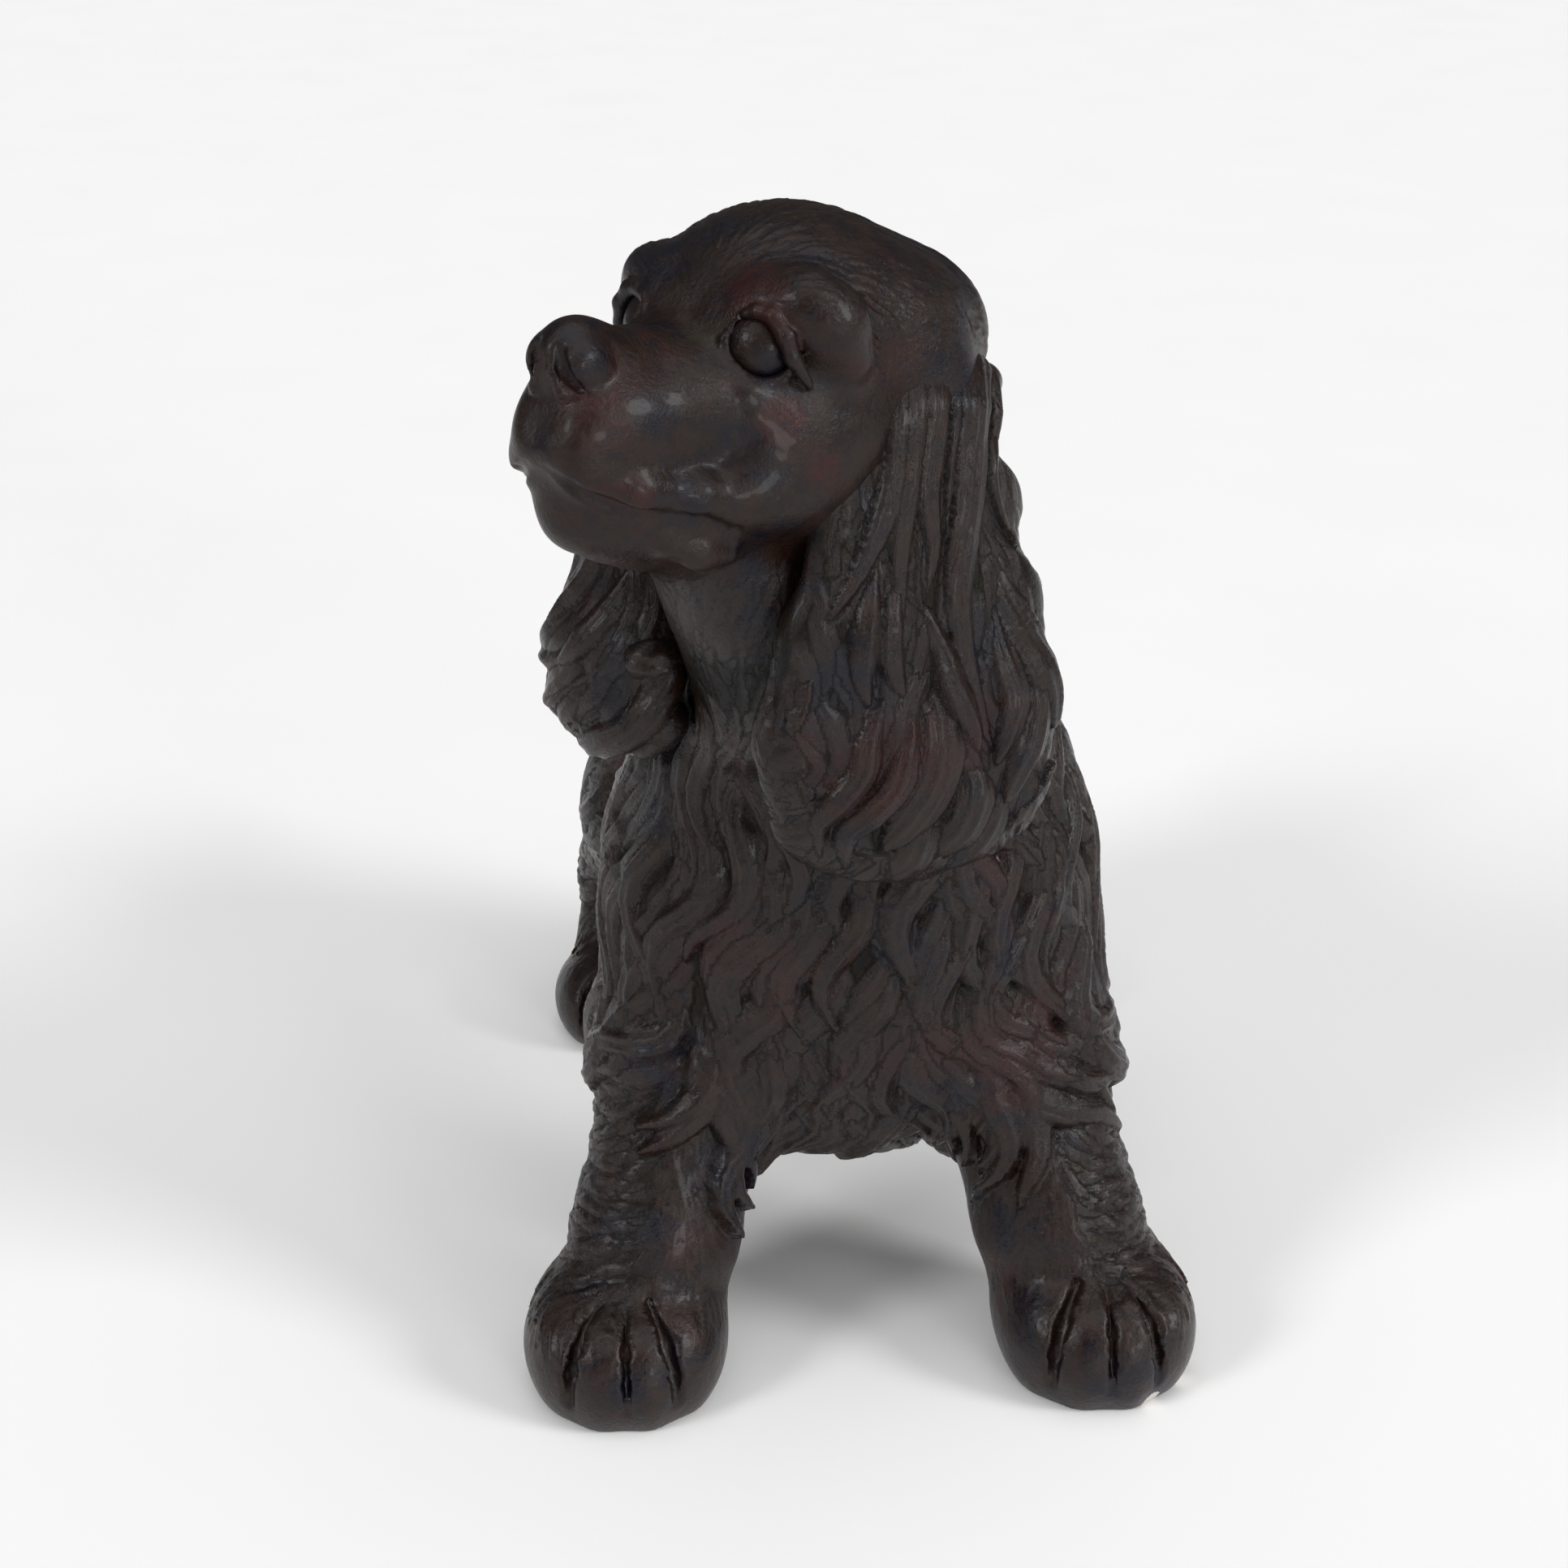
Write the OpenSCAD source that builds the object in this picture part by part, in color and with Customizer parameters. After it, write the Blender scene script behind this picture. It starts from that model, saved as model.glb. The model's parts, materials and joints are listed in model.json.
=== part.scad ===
// Slip-cast ceramic spaniel, standing with its head raised and turned to its own right.
// The dog faces -Y, its own left is +X, and it stands on the plane z = 0. The origin is
// on the ground under the middle of the whole figure. The castings are hollow shells,
// each luted to its neighbours with a thin layer of slip.

/* [Trunk] */
// Length of the trunk, from breast to rump
trunk_length = 324; // [270:1:390]
// Width of the trunk at the shoulders
chest_width = 144; // [120:1:173]
// Lean of the breast to the dog's own right
breast_lean = 5; // [0:1:8]
// Width of the trunk at the loin
loin_width = 128; // [106:1:154]
// Height of the withers above the ground
withers_height = 258; // [240:1:290]
// Height of the back above the ground
back_height = 240; // [220:1:262]
// Clearance between the ground and the breast
chest_clearance = 62; // [52:1:74]
// Clearance between the ground and the belly
belly_clearance = 104; // [88:1:125]
// Place of the seam between the two trunk castings, behind the breast
trunk_seam = 164; // [137:1:197]

/* [Head and neck] */
// Turn of the head to the dog's own right
head_turn = 46; // [38:1:55]
// Lift of the muzzle above the level
head_lift = 13; // [8:1:18]
// Height of the middle of the skull above the ground
skull_height = 362; // [345:1:390]
// Length of the head, from the back of the skull to the nose
head_length = 166; // [139:1:199]
// Width of the skull
skull_width = 100; // [84:1:120]
// Height of the skull
skull_depth = 98; // [82:1:118]
// Width of the muzzle
muzzle_width = 52; // [43:1:62]
// Width of the neck below the jaw
neck_width = 106; // [88:1:127]
// Diameter of an eyeball
eye_diameter = 21; // [17.5:0.1:25.2]

/* [Ears] */
// Length of the left ear
left_ear_length = 196; // [163:1:235]
// Greatest width of the left ear
left_ear_width = 100; // [83:1:120]
// Length of the right ear
right_ear_length = 172; // [143:1:206]
// Greatest width of the right ear
right_ear_width = 68; // [57:1:82]
// Thickness of an ear
ear_thickness = 24; // [20:1:29]

/* [Legs] */
// Distance between the middles of the fore paws
fore_stance = 170; // [150:1:204]
// Distance between the middles of the hind paws
hind_stance = 172; // [150:1:206]
// Distance between the middles of the fore paws and those of the hind paws
wheelbase = 264; // [220:1:317]
// Thickness of a fore leg
fore_leg_diameter = 58; // [48:1:70]
// Thickness of a hind leg at the hock
hock_diameter = 40; // [33:1:48]
// Width of a fore paw
fore_paw_width = 74; // [62:1:89]
// Length of a fore paw
fore_paw_length = 76; // [63:1:91]
// Width of a hind paw
hind_paw_width = 60; // [50:1:72]
// Length of a hind paw
hind_paw_length = 76; // [63:1:91]

/* [Tail] */
// Length of the docked tail
tail_length = 48; // [40:1:58]
// Thickness of the tail at its root
tail_diameter = 34; // [28:1:41]
// Slope of the tail away from the upright
tail_slope = 55; // [45:1:66]

/* [Casting] */
// Thickness of the fired wall
wall = 7; // [5.5:0.1:8.4]
// Thickness of the slip in each luted joint
slip = 1; // [0.8:0.1:1.2]
// Clearance of an eyeball in its socket
socket_clearance = 0.2; // [0.1:0.05:0.3]
// Diameter of the firing vent in the belly
vent_diameter = 12; // [10:0.1:14.4]

/* [Foot pads] */
// Diameter of a foot pad
pad_diameter = 42; // [35:1:50]
// Thickness of a foot pad
pad_thickness = 3; // [2.5:0.1:3.6]

/* [Hidden] */

left = 1;
right = -1;
fired_brown = [0.19, 0.14, 0.12];
eye_brown = [0.13, 0.09, 0.08];
slip_brown = [0.30, 0.22, 0.18];
felt_black = [0.07, 0.07, 0.08];

breast_y = -148;
seam_y = breast_y + trunk_seam;
fore_paw_y = breast_y + 4;
hind_paw_y = fore_paw_y + wheelbase;
paw_y = [fore_paw_y, hind_paw_y];
paw_x = [fore_stance / 2, hind_stance / 2];
skull_centre = [-22, breast_y + 26, skull_height];
neck_root_height = withers_height - 50;
neck_y = breast_y + 72;
left_ear_facing = 20;
right_ear_facing = -49;
eye_ahead = 46;
eye_aside = 24;
eye_above = 9;
tail_root = [0, breast_y + trunk_length - 14, back_height - 30];
vent_y = seam_y + 34;
space = 800;

// Signed power, for ovals with fuller shoulders
function bulge(x, e) = sign(x) * pow(abs(x), e);

// One oval section round c, with half axes ru along u and rv along v
function oval(c, u, v, ru, rv, sides, fullness) = [
    for (k = [0 : sides - 1])
        let (a = 360 * k / sides)
        c + u * ru * bulge(cos(a), 2 / fullness) + v * rv * bulge(sin(a), 2 / fullness)
];

// A smooth curve through four neighbouring rows, at t between the middle two
function curve(a, b, c, d, t) =
    0.5 * (2 * b + (c - a) * t + (2 * a - 5 * b + 4 * c - d) * t * t
        + (3 * b - a - 3 * c + d) * t * t * t);

// The row at share s of a list of rows, with the rows evenly spaced
function row_at(rows, s) =
    let (last = len(rows) - 1, i = min(floor(s * last), last - 1))
    curve(rows[max(i - 1, 0)], rows[i], rows[i + 1], rows[min(i + 2, last)], s * last - i);

// A closed skin over rings of equal size
module skin(rings) {
    n = len(rings[0]);
    last = len(rings) - 1;
    sides = [
        for (r = [0 : last - 1], k = [0 : n - 1])
            let (a = r * n + k, b = r * n + (k + 1) % n)
            each [[a, a + n, b + n], [a, b + n, b]]
    ];
    front = [[for (k = [0 : n - 1]) k]];
    back = [[for (k = [n - 1 : -1 : 0]) last * n + k]];
    polyhedron(points = [for (r = rings) each r], faces = concat(sides, front, back));
}

// The share of its full size that a form has at a depth behind its round end
function domed(depth, dome) =
    let (x = min(max(depth / dome, 0.02), 1))
    sqrt(1 - (1 - x) * (1 - x));

// A form of oval sections stacked along w, from low to high. Each row is [offset along u,
// offset along v, half width, half depth]. Both ends are domed over the depths in domes,
// and inset shrinks the form all round.
module stack(rows, low, high, axes, domes, inset, sides, rings, fullness = 2) {
    u = axes[0];
    v = axes[1];
    w = axes[2];
    skin([
        for (k = [0 : rings])
            let (
                step = (1 - cos(180 * k / rings)) / 2,
                place = low + inset + (high - low - 2 * inset) * step,
                share = min(max((place - low) / (high - low), 0), 1),
                row = row_at(rows, share),
                round_off = domed(place - low, domes[0]) * domed(high - place, domes[1])
            )
            oval(u * row[0] + v * row[1] + w * place, u, v,
                max(row[2] * round_off - inset, 1), max(row[3] * round_off - inset, 1),
                sides, fullness)
    ]);
}

upwards = [[1, 0, 0], [0, 1, 0], [0, 0, 1]];
rearwards = [[-1, 0, 0], [0, 0, 1], [0, 1, 0]];
noseward = [[0, 1, 0], [0, 0, 1], [1, 0, 0]];

// The trunk, from breast to rump
module trunk_form(inset) {
    chest_mid = (withers_height + chest_clearance) / 2;
    chest_half = (withers_height - chest_clearance) / 2;
    loin_mid = (back_height + belly_clearance) / 2;
    loin_half = (back_height - belly_clearance) / 2;
    rows = [
        [breast_lean, chest_mid + 12, chest_width * 0.46, chest_half * 0.86],
        [breast_lean, chest_mid, chest_width * 0.5, chest_half],
        [breast_lean * 0.6, chest_mid + 5, chest_width * 0.5, chest_half * 0.96],
        [0, loin_mid - 3, loin_width * 0.52, loin_half * 1.07],
        [0, loin_mid, loin_width * 0.49, loin_half],
        [0, loin_mid, loin_width * 0.5, loin_half],
        [0, loin_mid, loin_width * 0.46, loin_half * 0.9]
    ];
    stack(rows, breast_y, breast_y + trunk_length, rearwards, [62, 56], inset, 30, 16, 2.15);
}

// The neck, from inside the withers to inside the skull
module neck_form(inset) {
    half = neck_width / 2;
    rows = [
        [-breast_lean, neck_y + 8, half + 8, half + 4],
        [-breast_lean, neck_y - 4, half + 4, half],
        [-9, neck_y - 14, half, half - 3],
        [skull_centre[0] + 6, skull_centre[1] + 14, half - 4, half - 6]
    ];
    stack(rows, neck_root_height, skull_height - 16, upwards, [4, 20], inset, 28, 8);
}

// Stands a shape made in the head's own frame, with +X to the nose, +Y to the dog's
// left and +Z up through the skull, in its place
module head_place() {
    translate(skull_centre) rotate([0, 0, -90 - head_turn]) rotate([0, -head_lift, 0]) children();
}

module head_form(inset) {
    back = -head_length / 3;
    half = skull_width / 2;
    tall = skull_depth / 2;
    nose = muzzle_width / 2;
    rows = [
        [0, 2, half * 0.86, tall * 0.84],
        [0, 2, half * 0.96, tall * 0.94],
        [0, 2, half, tall],
        [0, -1, half * 0.98, tall],
        [0, -14, half * 0.76, tall * 0.88],
        [0, -22, nose * 1.12, tall * 0.72],
        [0, -18, nose, tall * 0.62],
        [0, -12, nose * 0.72, tall * 0.42]
    ];
    head_place() stack(rows, back, back + head_length, noseward, [46, 16], inset, 28, 16, 2.15);
}

// The skull, the muzzle and the neck together
module head_and_neck(inset) {
    head_form(inset);
    neck_form(inset);
}

// The mark that an eyeball of this radius leaves in the head
module eye_form(side, radius) {
    head_place() translate([eye_ahead, side * eye_aside, eye_above])
        sphere(r = radius, $fn = 28);
}

// Cuts a leg flat at the sole, inset above the foot pad
module above_sole(inset) {
    intersection() {
        children();
        translate([-space / 2, -space / 2, pad_thickness + inset]) cube(space);
    }
}

// A rounded paw round a point on its axis
module paw_form(place, width, length, height, inset) {
    translate(place) resize([width - 2 * inset, length - 2 * inset, 2 * (height - inset)])
        sphere(r = 10, $fn = 24);
}

module foreleg_form(side, inset) {
    half = fore_leg_diameter / 2;
    out = side * paw_x[0];
    rows = [
        [out * 0.97, fore_paw_y + 8, half - 2, half - 2],
        [out * 0.84, fore_paw_y + 22, half, half],
        [out * 0.68, fore_paw_y + 43, half + 3, half + 2],
        [out * 0.5, fore_paw_y + 56, half + 5, half + 8],
        [out * 0.36, fore_paw_y + 66, half + 4, half + 10]
    ];
    above_sole(inset) {
        stack(rows, -3, chest_clearance + 148, upwards, [10, 50], inset, 22, 9);
        paw_form([out, fore_paw_y, 17], fore_paw_width, fore_paw_length, 24, inset);
    }
}

module hindleg_form(side, inset) {
    half = hock_diameter / 2;
    out = side * paw_x[1];
    rows = [
        [out, hind_paw_y + 14, half, half],
        [out * 0.97, hind_paw_y + 32, half, half + 1],
        [out * 0.86, hind_paw_y + 14, half * 1.3, half * 1.4],
        [out * 0.7, hind_paw_y - 6, half * 1.65, half * 1.9],
        [out * 0.56, hind_paw_y - 8, half * 1.9, half * 2.5],
        [out * 0.42, hind_paw_y - 6, half * 1.9, half * 2.7]
    ];
    above_sole(inset) {
        stack(rows, -3, belly_clearance + 118, upwards, [10, 56], inset, 22, 11);
        paw_form([out, hind_paw_y, 15], hind_paw_width, hind_paw_length, 20, inset);
    }
}

module left_ear_form() {
    half = left_ear_width / 2;
    thick = ear_thickness / 2;
    rows = [
        [20, -49, half * 0.8, thick * 0.9],
        [18, -48, half * 0.96, thick],
        [20, -45, half, thick * 1.05],
        [28, -37, half * 0.82, thick],
        [38, -27, half * 0.58, thick * 0.95],
        [46, -15, half * 0.42, thick * 0.85],
        [42, -6, half * 0.34, thick * 0.8]
    ];
    translate(skull_centre) rotate([0, 0, left_ear_facing])
        stack(rows, 34 - left_ear_length, 34, upwards, [30, 12], 0, 24, 14, 2.3);
}

module right_ear_form() {
    half = right_ear_width / 2;
    thick = ear_thickness / 2;
    rows = [
        [-47, -42, half * 0.8, thick * 0.9],
        [-52, -41, half, thick],
        [-54, -35, half * 0.86, thick],
        [-52, -26, half * 0.68, thick],
        [-50, -17, half * 0.6, thick * 0.95],
        [-47, -8, half * 0.52, thick * 0.85],
        [-40, 0, half * 0.46, thick * 0.8]
    ];
    translate(skull_centre) rotate([0, 0, right_ear_facing])
        stack(rows, 32 - right_ear_length, 32, upwards, [24, 12], 0, 24, 14, 2.3);
}

module tail_form() {
    translate(tail_root) rotate([-tail_slope, 0, 0])
        cylinder(h = tail_length, d1 = tail_diameter, d2 = tail_diameter * 0.55, $fn = 24);
}

module leg_form(place, side, inset) {
    if (place == 0) foreleg_form(side, inset);
    if (place == 1) hindleg_form(side, inset);
}

// The space inside all the castings, which opens each into the next
module hollow() {
    trunk_form(wall);
    head_and_neck(wall);
    for (place = [0, 1], side = [left, right]) leg_form(place, side, wall);
}

// Joins its children into one skin of flat facets, before any true hole is bored in it
module as_skin() {
    resize([0, 0, 0]) children();
}

// The space ahead of the trunk seam, which ends gap behind it
module ahead_of_seam(gap) {
    translate([-space / 2, seam_y + gap - space, -space / 2]) cube(space);
}

module chest_shell() {
    color(fired_brown) as_skin() difference() {
        intersection() {
            trunk_form(0);
            ahead_of_seam(-slip);
        }
        hollow();
    }
}

module rump_shell() {
    color(fired_brown) difference() {
        as_skin() difference() {
            trunk_form(0);
            ahead_of_seam(0);
            hollow();
        }
        translate([0, vent_y, 0]) cylinder(h = withers_height / 2, d = vent_diameter, $fn = 48);
    }
}

module trunk_slip() {
    color(slip_brown) as_skin() difference() {
        intersection() {
            trunk_form(0);
            ahead_of_seam(0);
        }
        ahead_of_seam(-slip);
        trunk_form(wall);
    }
}

module head_shell() {
    color(fired_brown) as_skin() difference() {
        head_and_neck(0);
        trunk_form(-slip);
        hollow();
        for (side = [left, right]) eye_form(side, eye_diameter / 2 + socket_clearance);
    }
}

module neck_slip() {
    color(slip_brown) as_skin() difference() {
        intersection() {
            neck_form(0);
            trunk_form(-slip);
        }
        trunk_form(0);
        hollow();
    }
}

module eyeball(side) {
    color(eye_brown) as_skin() difference() {
        eye_form(side, eye_diameter / 2);
        hollow();
    }
}

module ear(side) {
    color(fired_brown) as_skin() difference() {
        if (side == left) left_ear_form(); else right_ear_form();
        head_and_neck(-slip);
        trunk_form(-slip);
    }
}

module ear_slip(side) {
    color(slip_brown) as_skin() difference() {
        intersection() {
            if (side == left) left_ear_form(); else right_ear_form();
            head_form(-slip);
        }
        head_and_neck(0);
    }
}

module leg(place, side) {
    color(fired_brown) as_skin() difference() {
        leg_form(place, side, 0);
        trunk_form(-slip);
        hollow();
    }
}

module leg_slip(place, side) {
    color(slip_brown) as_skin() difference() {
        intersection() {
            leg_form(place, side, 0);
            trunk_form(-slip);
        }
        trunk_form(0);
        leg_form(place, side, wall);
    }
}

module tail() {
    color(fired_brown) as_skin() difference() {
        tail_form();
        trunk_form(-slip);
    }
}

module tail_slip() {
    color(slip_brown) as_skin() difference() {
        intersection() {
            tail_form();
            trunk_form(-slip);
        }
        trunk_form(0);
    }
}

module pad(place, side) {
    color(felt_black) translate([side * paw_x[place], paw_y[place], 0])
        cylinder(h = pad_thickness, d = pad_diameter, $fn = 64);
}

chest_shell();
rump_shell();
head_shell();
ear(left);  // ear_left
ear(right);  // ear_right
leg(0, left);  // foreleg_left
leg(0, right);  // foreleg_right
leg(1, left);  // hindleg_left
leg(1, right);  // hindleg_right
tail();
eyeball(left);  // eyeball_left
eyeball(right);  // eyeball_right
trunk_slip();
neck_slip();
ear_slip(left);  // ear_left_slip
ear_slip(right);  // ear_right_slip
tail_slip();
leg_slip(0, left);  // foreleg_left_slip
leg_slip(0, right);  // foreleg_right_slip
leg_slip(1, left);  // hindleg_left_slip
leg_slip(1, right);  // hindleg_right_slip
pad(0, left);  // pad_fore_left
pad(0, right);  // pad_fore_right
pad(1, left);  // pad_hind_left
pad(1, right);  // pad_hind_right
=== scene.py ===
"""A slip-cast ceramic spaniel with a sculpted coat and a dark, mottled glaze.

The figure is modelled as clay: `Clay` holds rounded forms, each a distance formula, that melt
into one another. `wrap` nets the clay, `Coat` combs locks of hair over the net, which raise it
by a relief, and `make_piece` turns each casting between its seams into a closed mesh. Lengths
are in millimetres until a mesh is made, which is in metres.
"""

import json
import logging
from collections.abc import Callable, Sequence
from dataclasses import dataclass, field
from enum import Enum
from typing import ClassVar

import bpy
import numpy as np
from mathutils import Matrix, Vector

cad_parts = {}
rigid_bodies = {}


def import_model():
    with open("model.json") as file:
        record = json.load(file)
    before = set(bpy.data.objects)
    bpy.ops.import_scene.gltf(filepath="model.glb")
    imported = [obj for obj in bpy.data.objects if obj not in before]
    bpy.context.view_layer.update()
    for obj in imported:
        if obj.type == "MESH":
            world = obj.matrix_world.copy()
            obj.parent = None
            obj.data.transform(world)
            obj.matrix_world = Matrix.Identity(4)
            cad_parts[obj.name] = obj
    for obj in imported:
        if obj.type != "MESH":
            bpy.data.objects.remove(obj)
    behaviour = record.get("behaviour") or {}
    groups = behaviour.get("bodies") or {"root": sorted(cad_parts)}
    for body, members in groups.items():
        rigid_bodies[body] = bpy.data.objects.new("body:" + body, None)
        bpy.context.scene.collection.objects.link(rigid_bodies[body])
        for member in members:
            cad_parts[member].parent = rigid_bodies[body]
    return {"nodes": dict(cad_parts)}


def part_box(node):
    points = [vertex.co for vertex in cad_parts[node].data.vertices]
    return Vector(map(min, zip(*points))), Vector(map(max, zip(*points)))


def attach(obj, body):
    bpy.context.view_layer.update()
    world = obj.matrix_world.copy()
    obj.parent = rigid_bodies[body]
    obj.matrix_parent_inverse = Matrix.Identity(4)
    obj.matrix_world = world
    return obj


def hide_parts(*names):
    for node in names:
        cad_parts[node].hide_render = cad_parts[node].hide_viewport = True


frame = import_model()
bpy.context.view_layer.update()

LOG = logging.getLogger("spaniel")
Array = np.ndarray
Spot = Sequence[float]
MM = 0.001
LEFT, RIGHT = 1, -1
LOCK_FIELDS = ("lines", "normals", "width", "height", "strand", "root", "tip")


# ---------------------------------------------------------------- distances and blending


def vector(*values: float) -> Array:
    """The values as one row of single precision."""
    return np.array(values, np.float32)


def length(rows: Array) -> Array:
    """The length of each row: the root of the sum of its squares."""
    return np.sqrt(np.einsum("ij,ij->i", rows, rows))


def unit(rows: Array) -> Array:
    """Each row divided by its length."""
    return rows / np.maximum(length(rows), 1e-9)[:, None]


def ramp(value: Array, low: float, high: float) -> Array:
    """An S-shaped rise from 0 at low to 1 at high: three t squared less two t cubed."""
    t = np.clip((value - low) / (high - low), 0, 1)
    return t * t * (3 - 2 * t)


def melt(first: Array, second: Array, radius: float) -> Array:
    """The lesser of two distances, with a fillet of about radius where they are close.

    Formula: the mean weighted by their difference over the radius, less the radius times the
    product of the two weights.
    """
    share = np.clip(0.5 + 0.5 * (second - first) / radius, 0, 1)
    return second * (1 - share) + first * share - radius * share * (1 - share)


class Join(Enum):
    """What a form does to the clay that is already there."""

    ADD = "add"
    CUT = "cut"


@dataclass(frozen=True)
class Form:
    """One rounded form: its distance formula and the sphere that holds all it can touch."""

    distance: Callable[[Array], Array]
    centre: Array
    reach: float
    blend: float
    join: Join = Join.ADD


class Clay:
    """Rounded forms that melt into one another, in the order in which they are added."""

    FAR = 60.0  # distance where there is no clay
    BLOCK = 36.0  # width of the blocks into which points are sorted
    MARGIN = 9.0  # how much further than its blend a form is looked for

    def __init__(self) -> None:
        """Starts with no clay."""
        self.forms: list[Form] = []

    def egg(
        self,
        centre: Sequence[float],
        radii: Sequence[float],
        blend: float,
        join: Join = Join.ADD,
        axes: Array | None = None,
    ) -> None:
        """Adds or cuts an ellipsoid.

        Formula: with k the length of the point over the radii and m that over the radii
        squared, the distance is k times (k less 1) over m.

        Args:
            centre: its middle.
            radii: its three half axes.
            blend: the fillet round it.
            join: whether it adds or cuts.
            axes: a matrix whose columns are its own axes, or None for the world's.
        """
        middle, half = vector(*centre), vector(*radii)

        def distance(points: Array) -> Array:
            """Distance to the ellipsoid."""
            local = points - middle
            if axes is not None:
                local = local @ axes
            near = length(local / half)
            steep = np.maximum(length(local / (half * half)), 1e-6)
            return near * (near - 1) / steep

        self.forms.append(Form(distance, middle, float(half.max()), blend, join))

    def bone(
        self,
        start: Sequence[float],
        end: Sequence[float],
        start_radius: float,
        end_radius: float,
        blend: float,
        join: Join = Join.ADD,
    ) -> None:
        """Adds or cuts a round-ended cone.

        Formula: the distance to the nearest point of the axis less the radius there, which
        runs evenly from one end to the other.

        Args:
            start: first end of the axis.
            end: last end of the axis.
            start_radius: radius at the first end.
            end_radius: radius at the last end.
            blend: the fillet round it.
            join: whether it adds or cuts.
        """
        first, axis = vector(*start), vector(*end) - vector(*start)
        square = max(float(axis @ axis), 1e-6)

        def distance(points: Array) -> Array:
            """Distance to the cone."""
            local = points - first
            share = np.clip(local @ axis / square, 0, 1)
            radius = start_radius + (end_radius - start_radius) * share
            return length(local - share[:, None] * axis) - radius

        reach = float(np.sqrt(square)) / 2 + max(start_radius, end_radius)
        self.forms.append(Form(distance, first + axis / 2, reach, blend, join))

    def path(
        self,
        points: Sequence[Sequence[float]],
        radii: Sequence[float],
        blend: float,
        join: Join = Join.ADD,
    ) -> None:
        """Adds or cuts round-ended cones end to end along a list of points."""
        for k in range(len(points) - 1):
            self.bone(points[k], points[k + 1], radii[k], radii[k + 1], blend, join)

    def custom(
        self,
        distance: Callable[[Array], Array],
        centre: Sequence[float],
        reach: float,
        blend: float,
        join: Join = Join.ADD,
    ) -> None:
        """Adds or cuts a form with a formula of its own."""
        self.forms.append(Form(distance, vector(*centre), reach, blend, join))

    def distance(self, points: Array) -> Array:
        """Distance of every point to the clay, negative inside it.

        The points are sorted into blocks, and each block meets only the forms within its
        reach, in order: an added form melts in, and a cut one melts out of the negative.

        Args:
            points: rows of x, y, z.

        Returns:
            One distance for each row.
        """
        points = np.asarray(points, np.float32)
        result = np.full(len(points), self.FAR, np.float32)
        if not len(points):
            return result
        cells = np.floor(points / self.BLOCK).astype(np.int64)
        cells -= cells.min(0)
        size = cells.max(0) + 1
        key = (cells[:, 0] * size[1] + cells[:, 1]) * size[2] + cells[:, 2]
        order = np.argsort(key, kind="stable")
        edges = np.flatnonzero(np.diff(key[order])) + 1
        for rows in np.split(order, edges):
            block = points[rows]
            low, high = block.min(0), block.max(0)
            middle, half = (low + high) / 2, float(np.linalg.norm(high - low)) / 2
            found = result[rows]
            for form in self.forms:
                gap = float(np.linalg.norm(form.centre - middle)) - form.reach - half
                if gap > form.blend + self.MARGIN:
                    continue
                value = form.distance(block)
                if form.join is Join.ADD:
                    found = melt(found, value, form.blend)
                else:
                    found = -melt(-found, value, form.blend)
            result[rows] = found
        return result

    def slope(self, points: Array, step: float = 0.35) -> Array:
        """The gradient of the distance, from its change over a short step along each axis."""
        rows = np.empty((len(points), 3), np.float32)
        for axis in range(3):
            shift = np.zeros(3, np.float32)
            shift[axis] = step
            rows[:, axis] = self.distance(points + shift) - self.distance(points - shift)
        return rows / (2 * step)

    def settle(self, points: Array, rounds: int = 2) -> tuple[Array, Array]:
        """Moves points onto the surface along the slope.

        Args:
            points: rows near the surface.
            rounds: how many times they are moved.

        Returns:
            The moved points, and the unit normals there.
        """
        slope = self.slope(points)
        for turn in range(rounds):
            gap = self.distance(points) / np.maximum(np.einsum("ij,ij->i", slope, slope), 0.25)
            points = points - slope * np.clip(gap, -3, 3)[:, None]
            if turn == 0:
                slope = self.slope(points)
        return points, unit(slope)


# ---------------------------------------------------------------- meshes


@dataclass
class Skin:
    """A surface of four-sided faces, with its vertices in millimetres."""

    points: Array
    faces: Array

    def compact(self, keep: Array) -> "Skin":
        """The faces marked in keep, with only the vertices that they use."""
        faces = self.faces[keep]
        used, index = np.unique(faces, return_inverse=True)
        return Skin(self.points[used], index.reshape(faces.shape))

    def refine(self) -> "Skin":
        """Splits each face into four at its middle and the middles of its edges."""
        count = len(self.points)
        ends = np.stack([self.faces, np.roll(self.faces, -1, axis=1)], -1).reshape(-1, 2)
        ends.sort(axis=1)
        edges, index = np.unique(ends, axis=0, return_inverse=True)
        index = index.reshape(self.faces.shape) + count
        middles = self.points[self.faces].mean(1)
        centre = np.arange(len(self.faces)) + count + len(edges)
        points = np.concatenate([self.points, self.points[edges].mean(1), middles])
        faces = [
            np.stack([self.faces[:, k], index[:, k], centre, index[:, k - 1]], 1) for k in range(4)
        ]
        return Skin(points.astype(np.float32), np.concatenate(faces))


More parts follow.
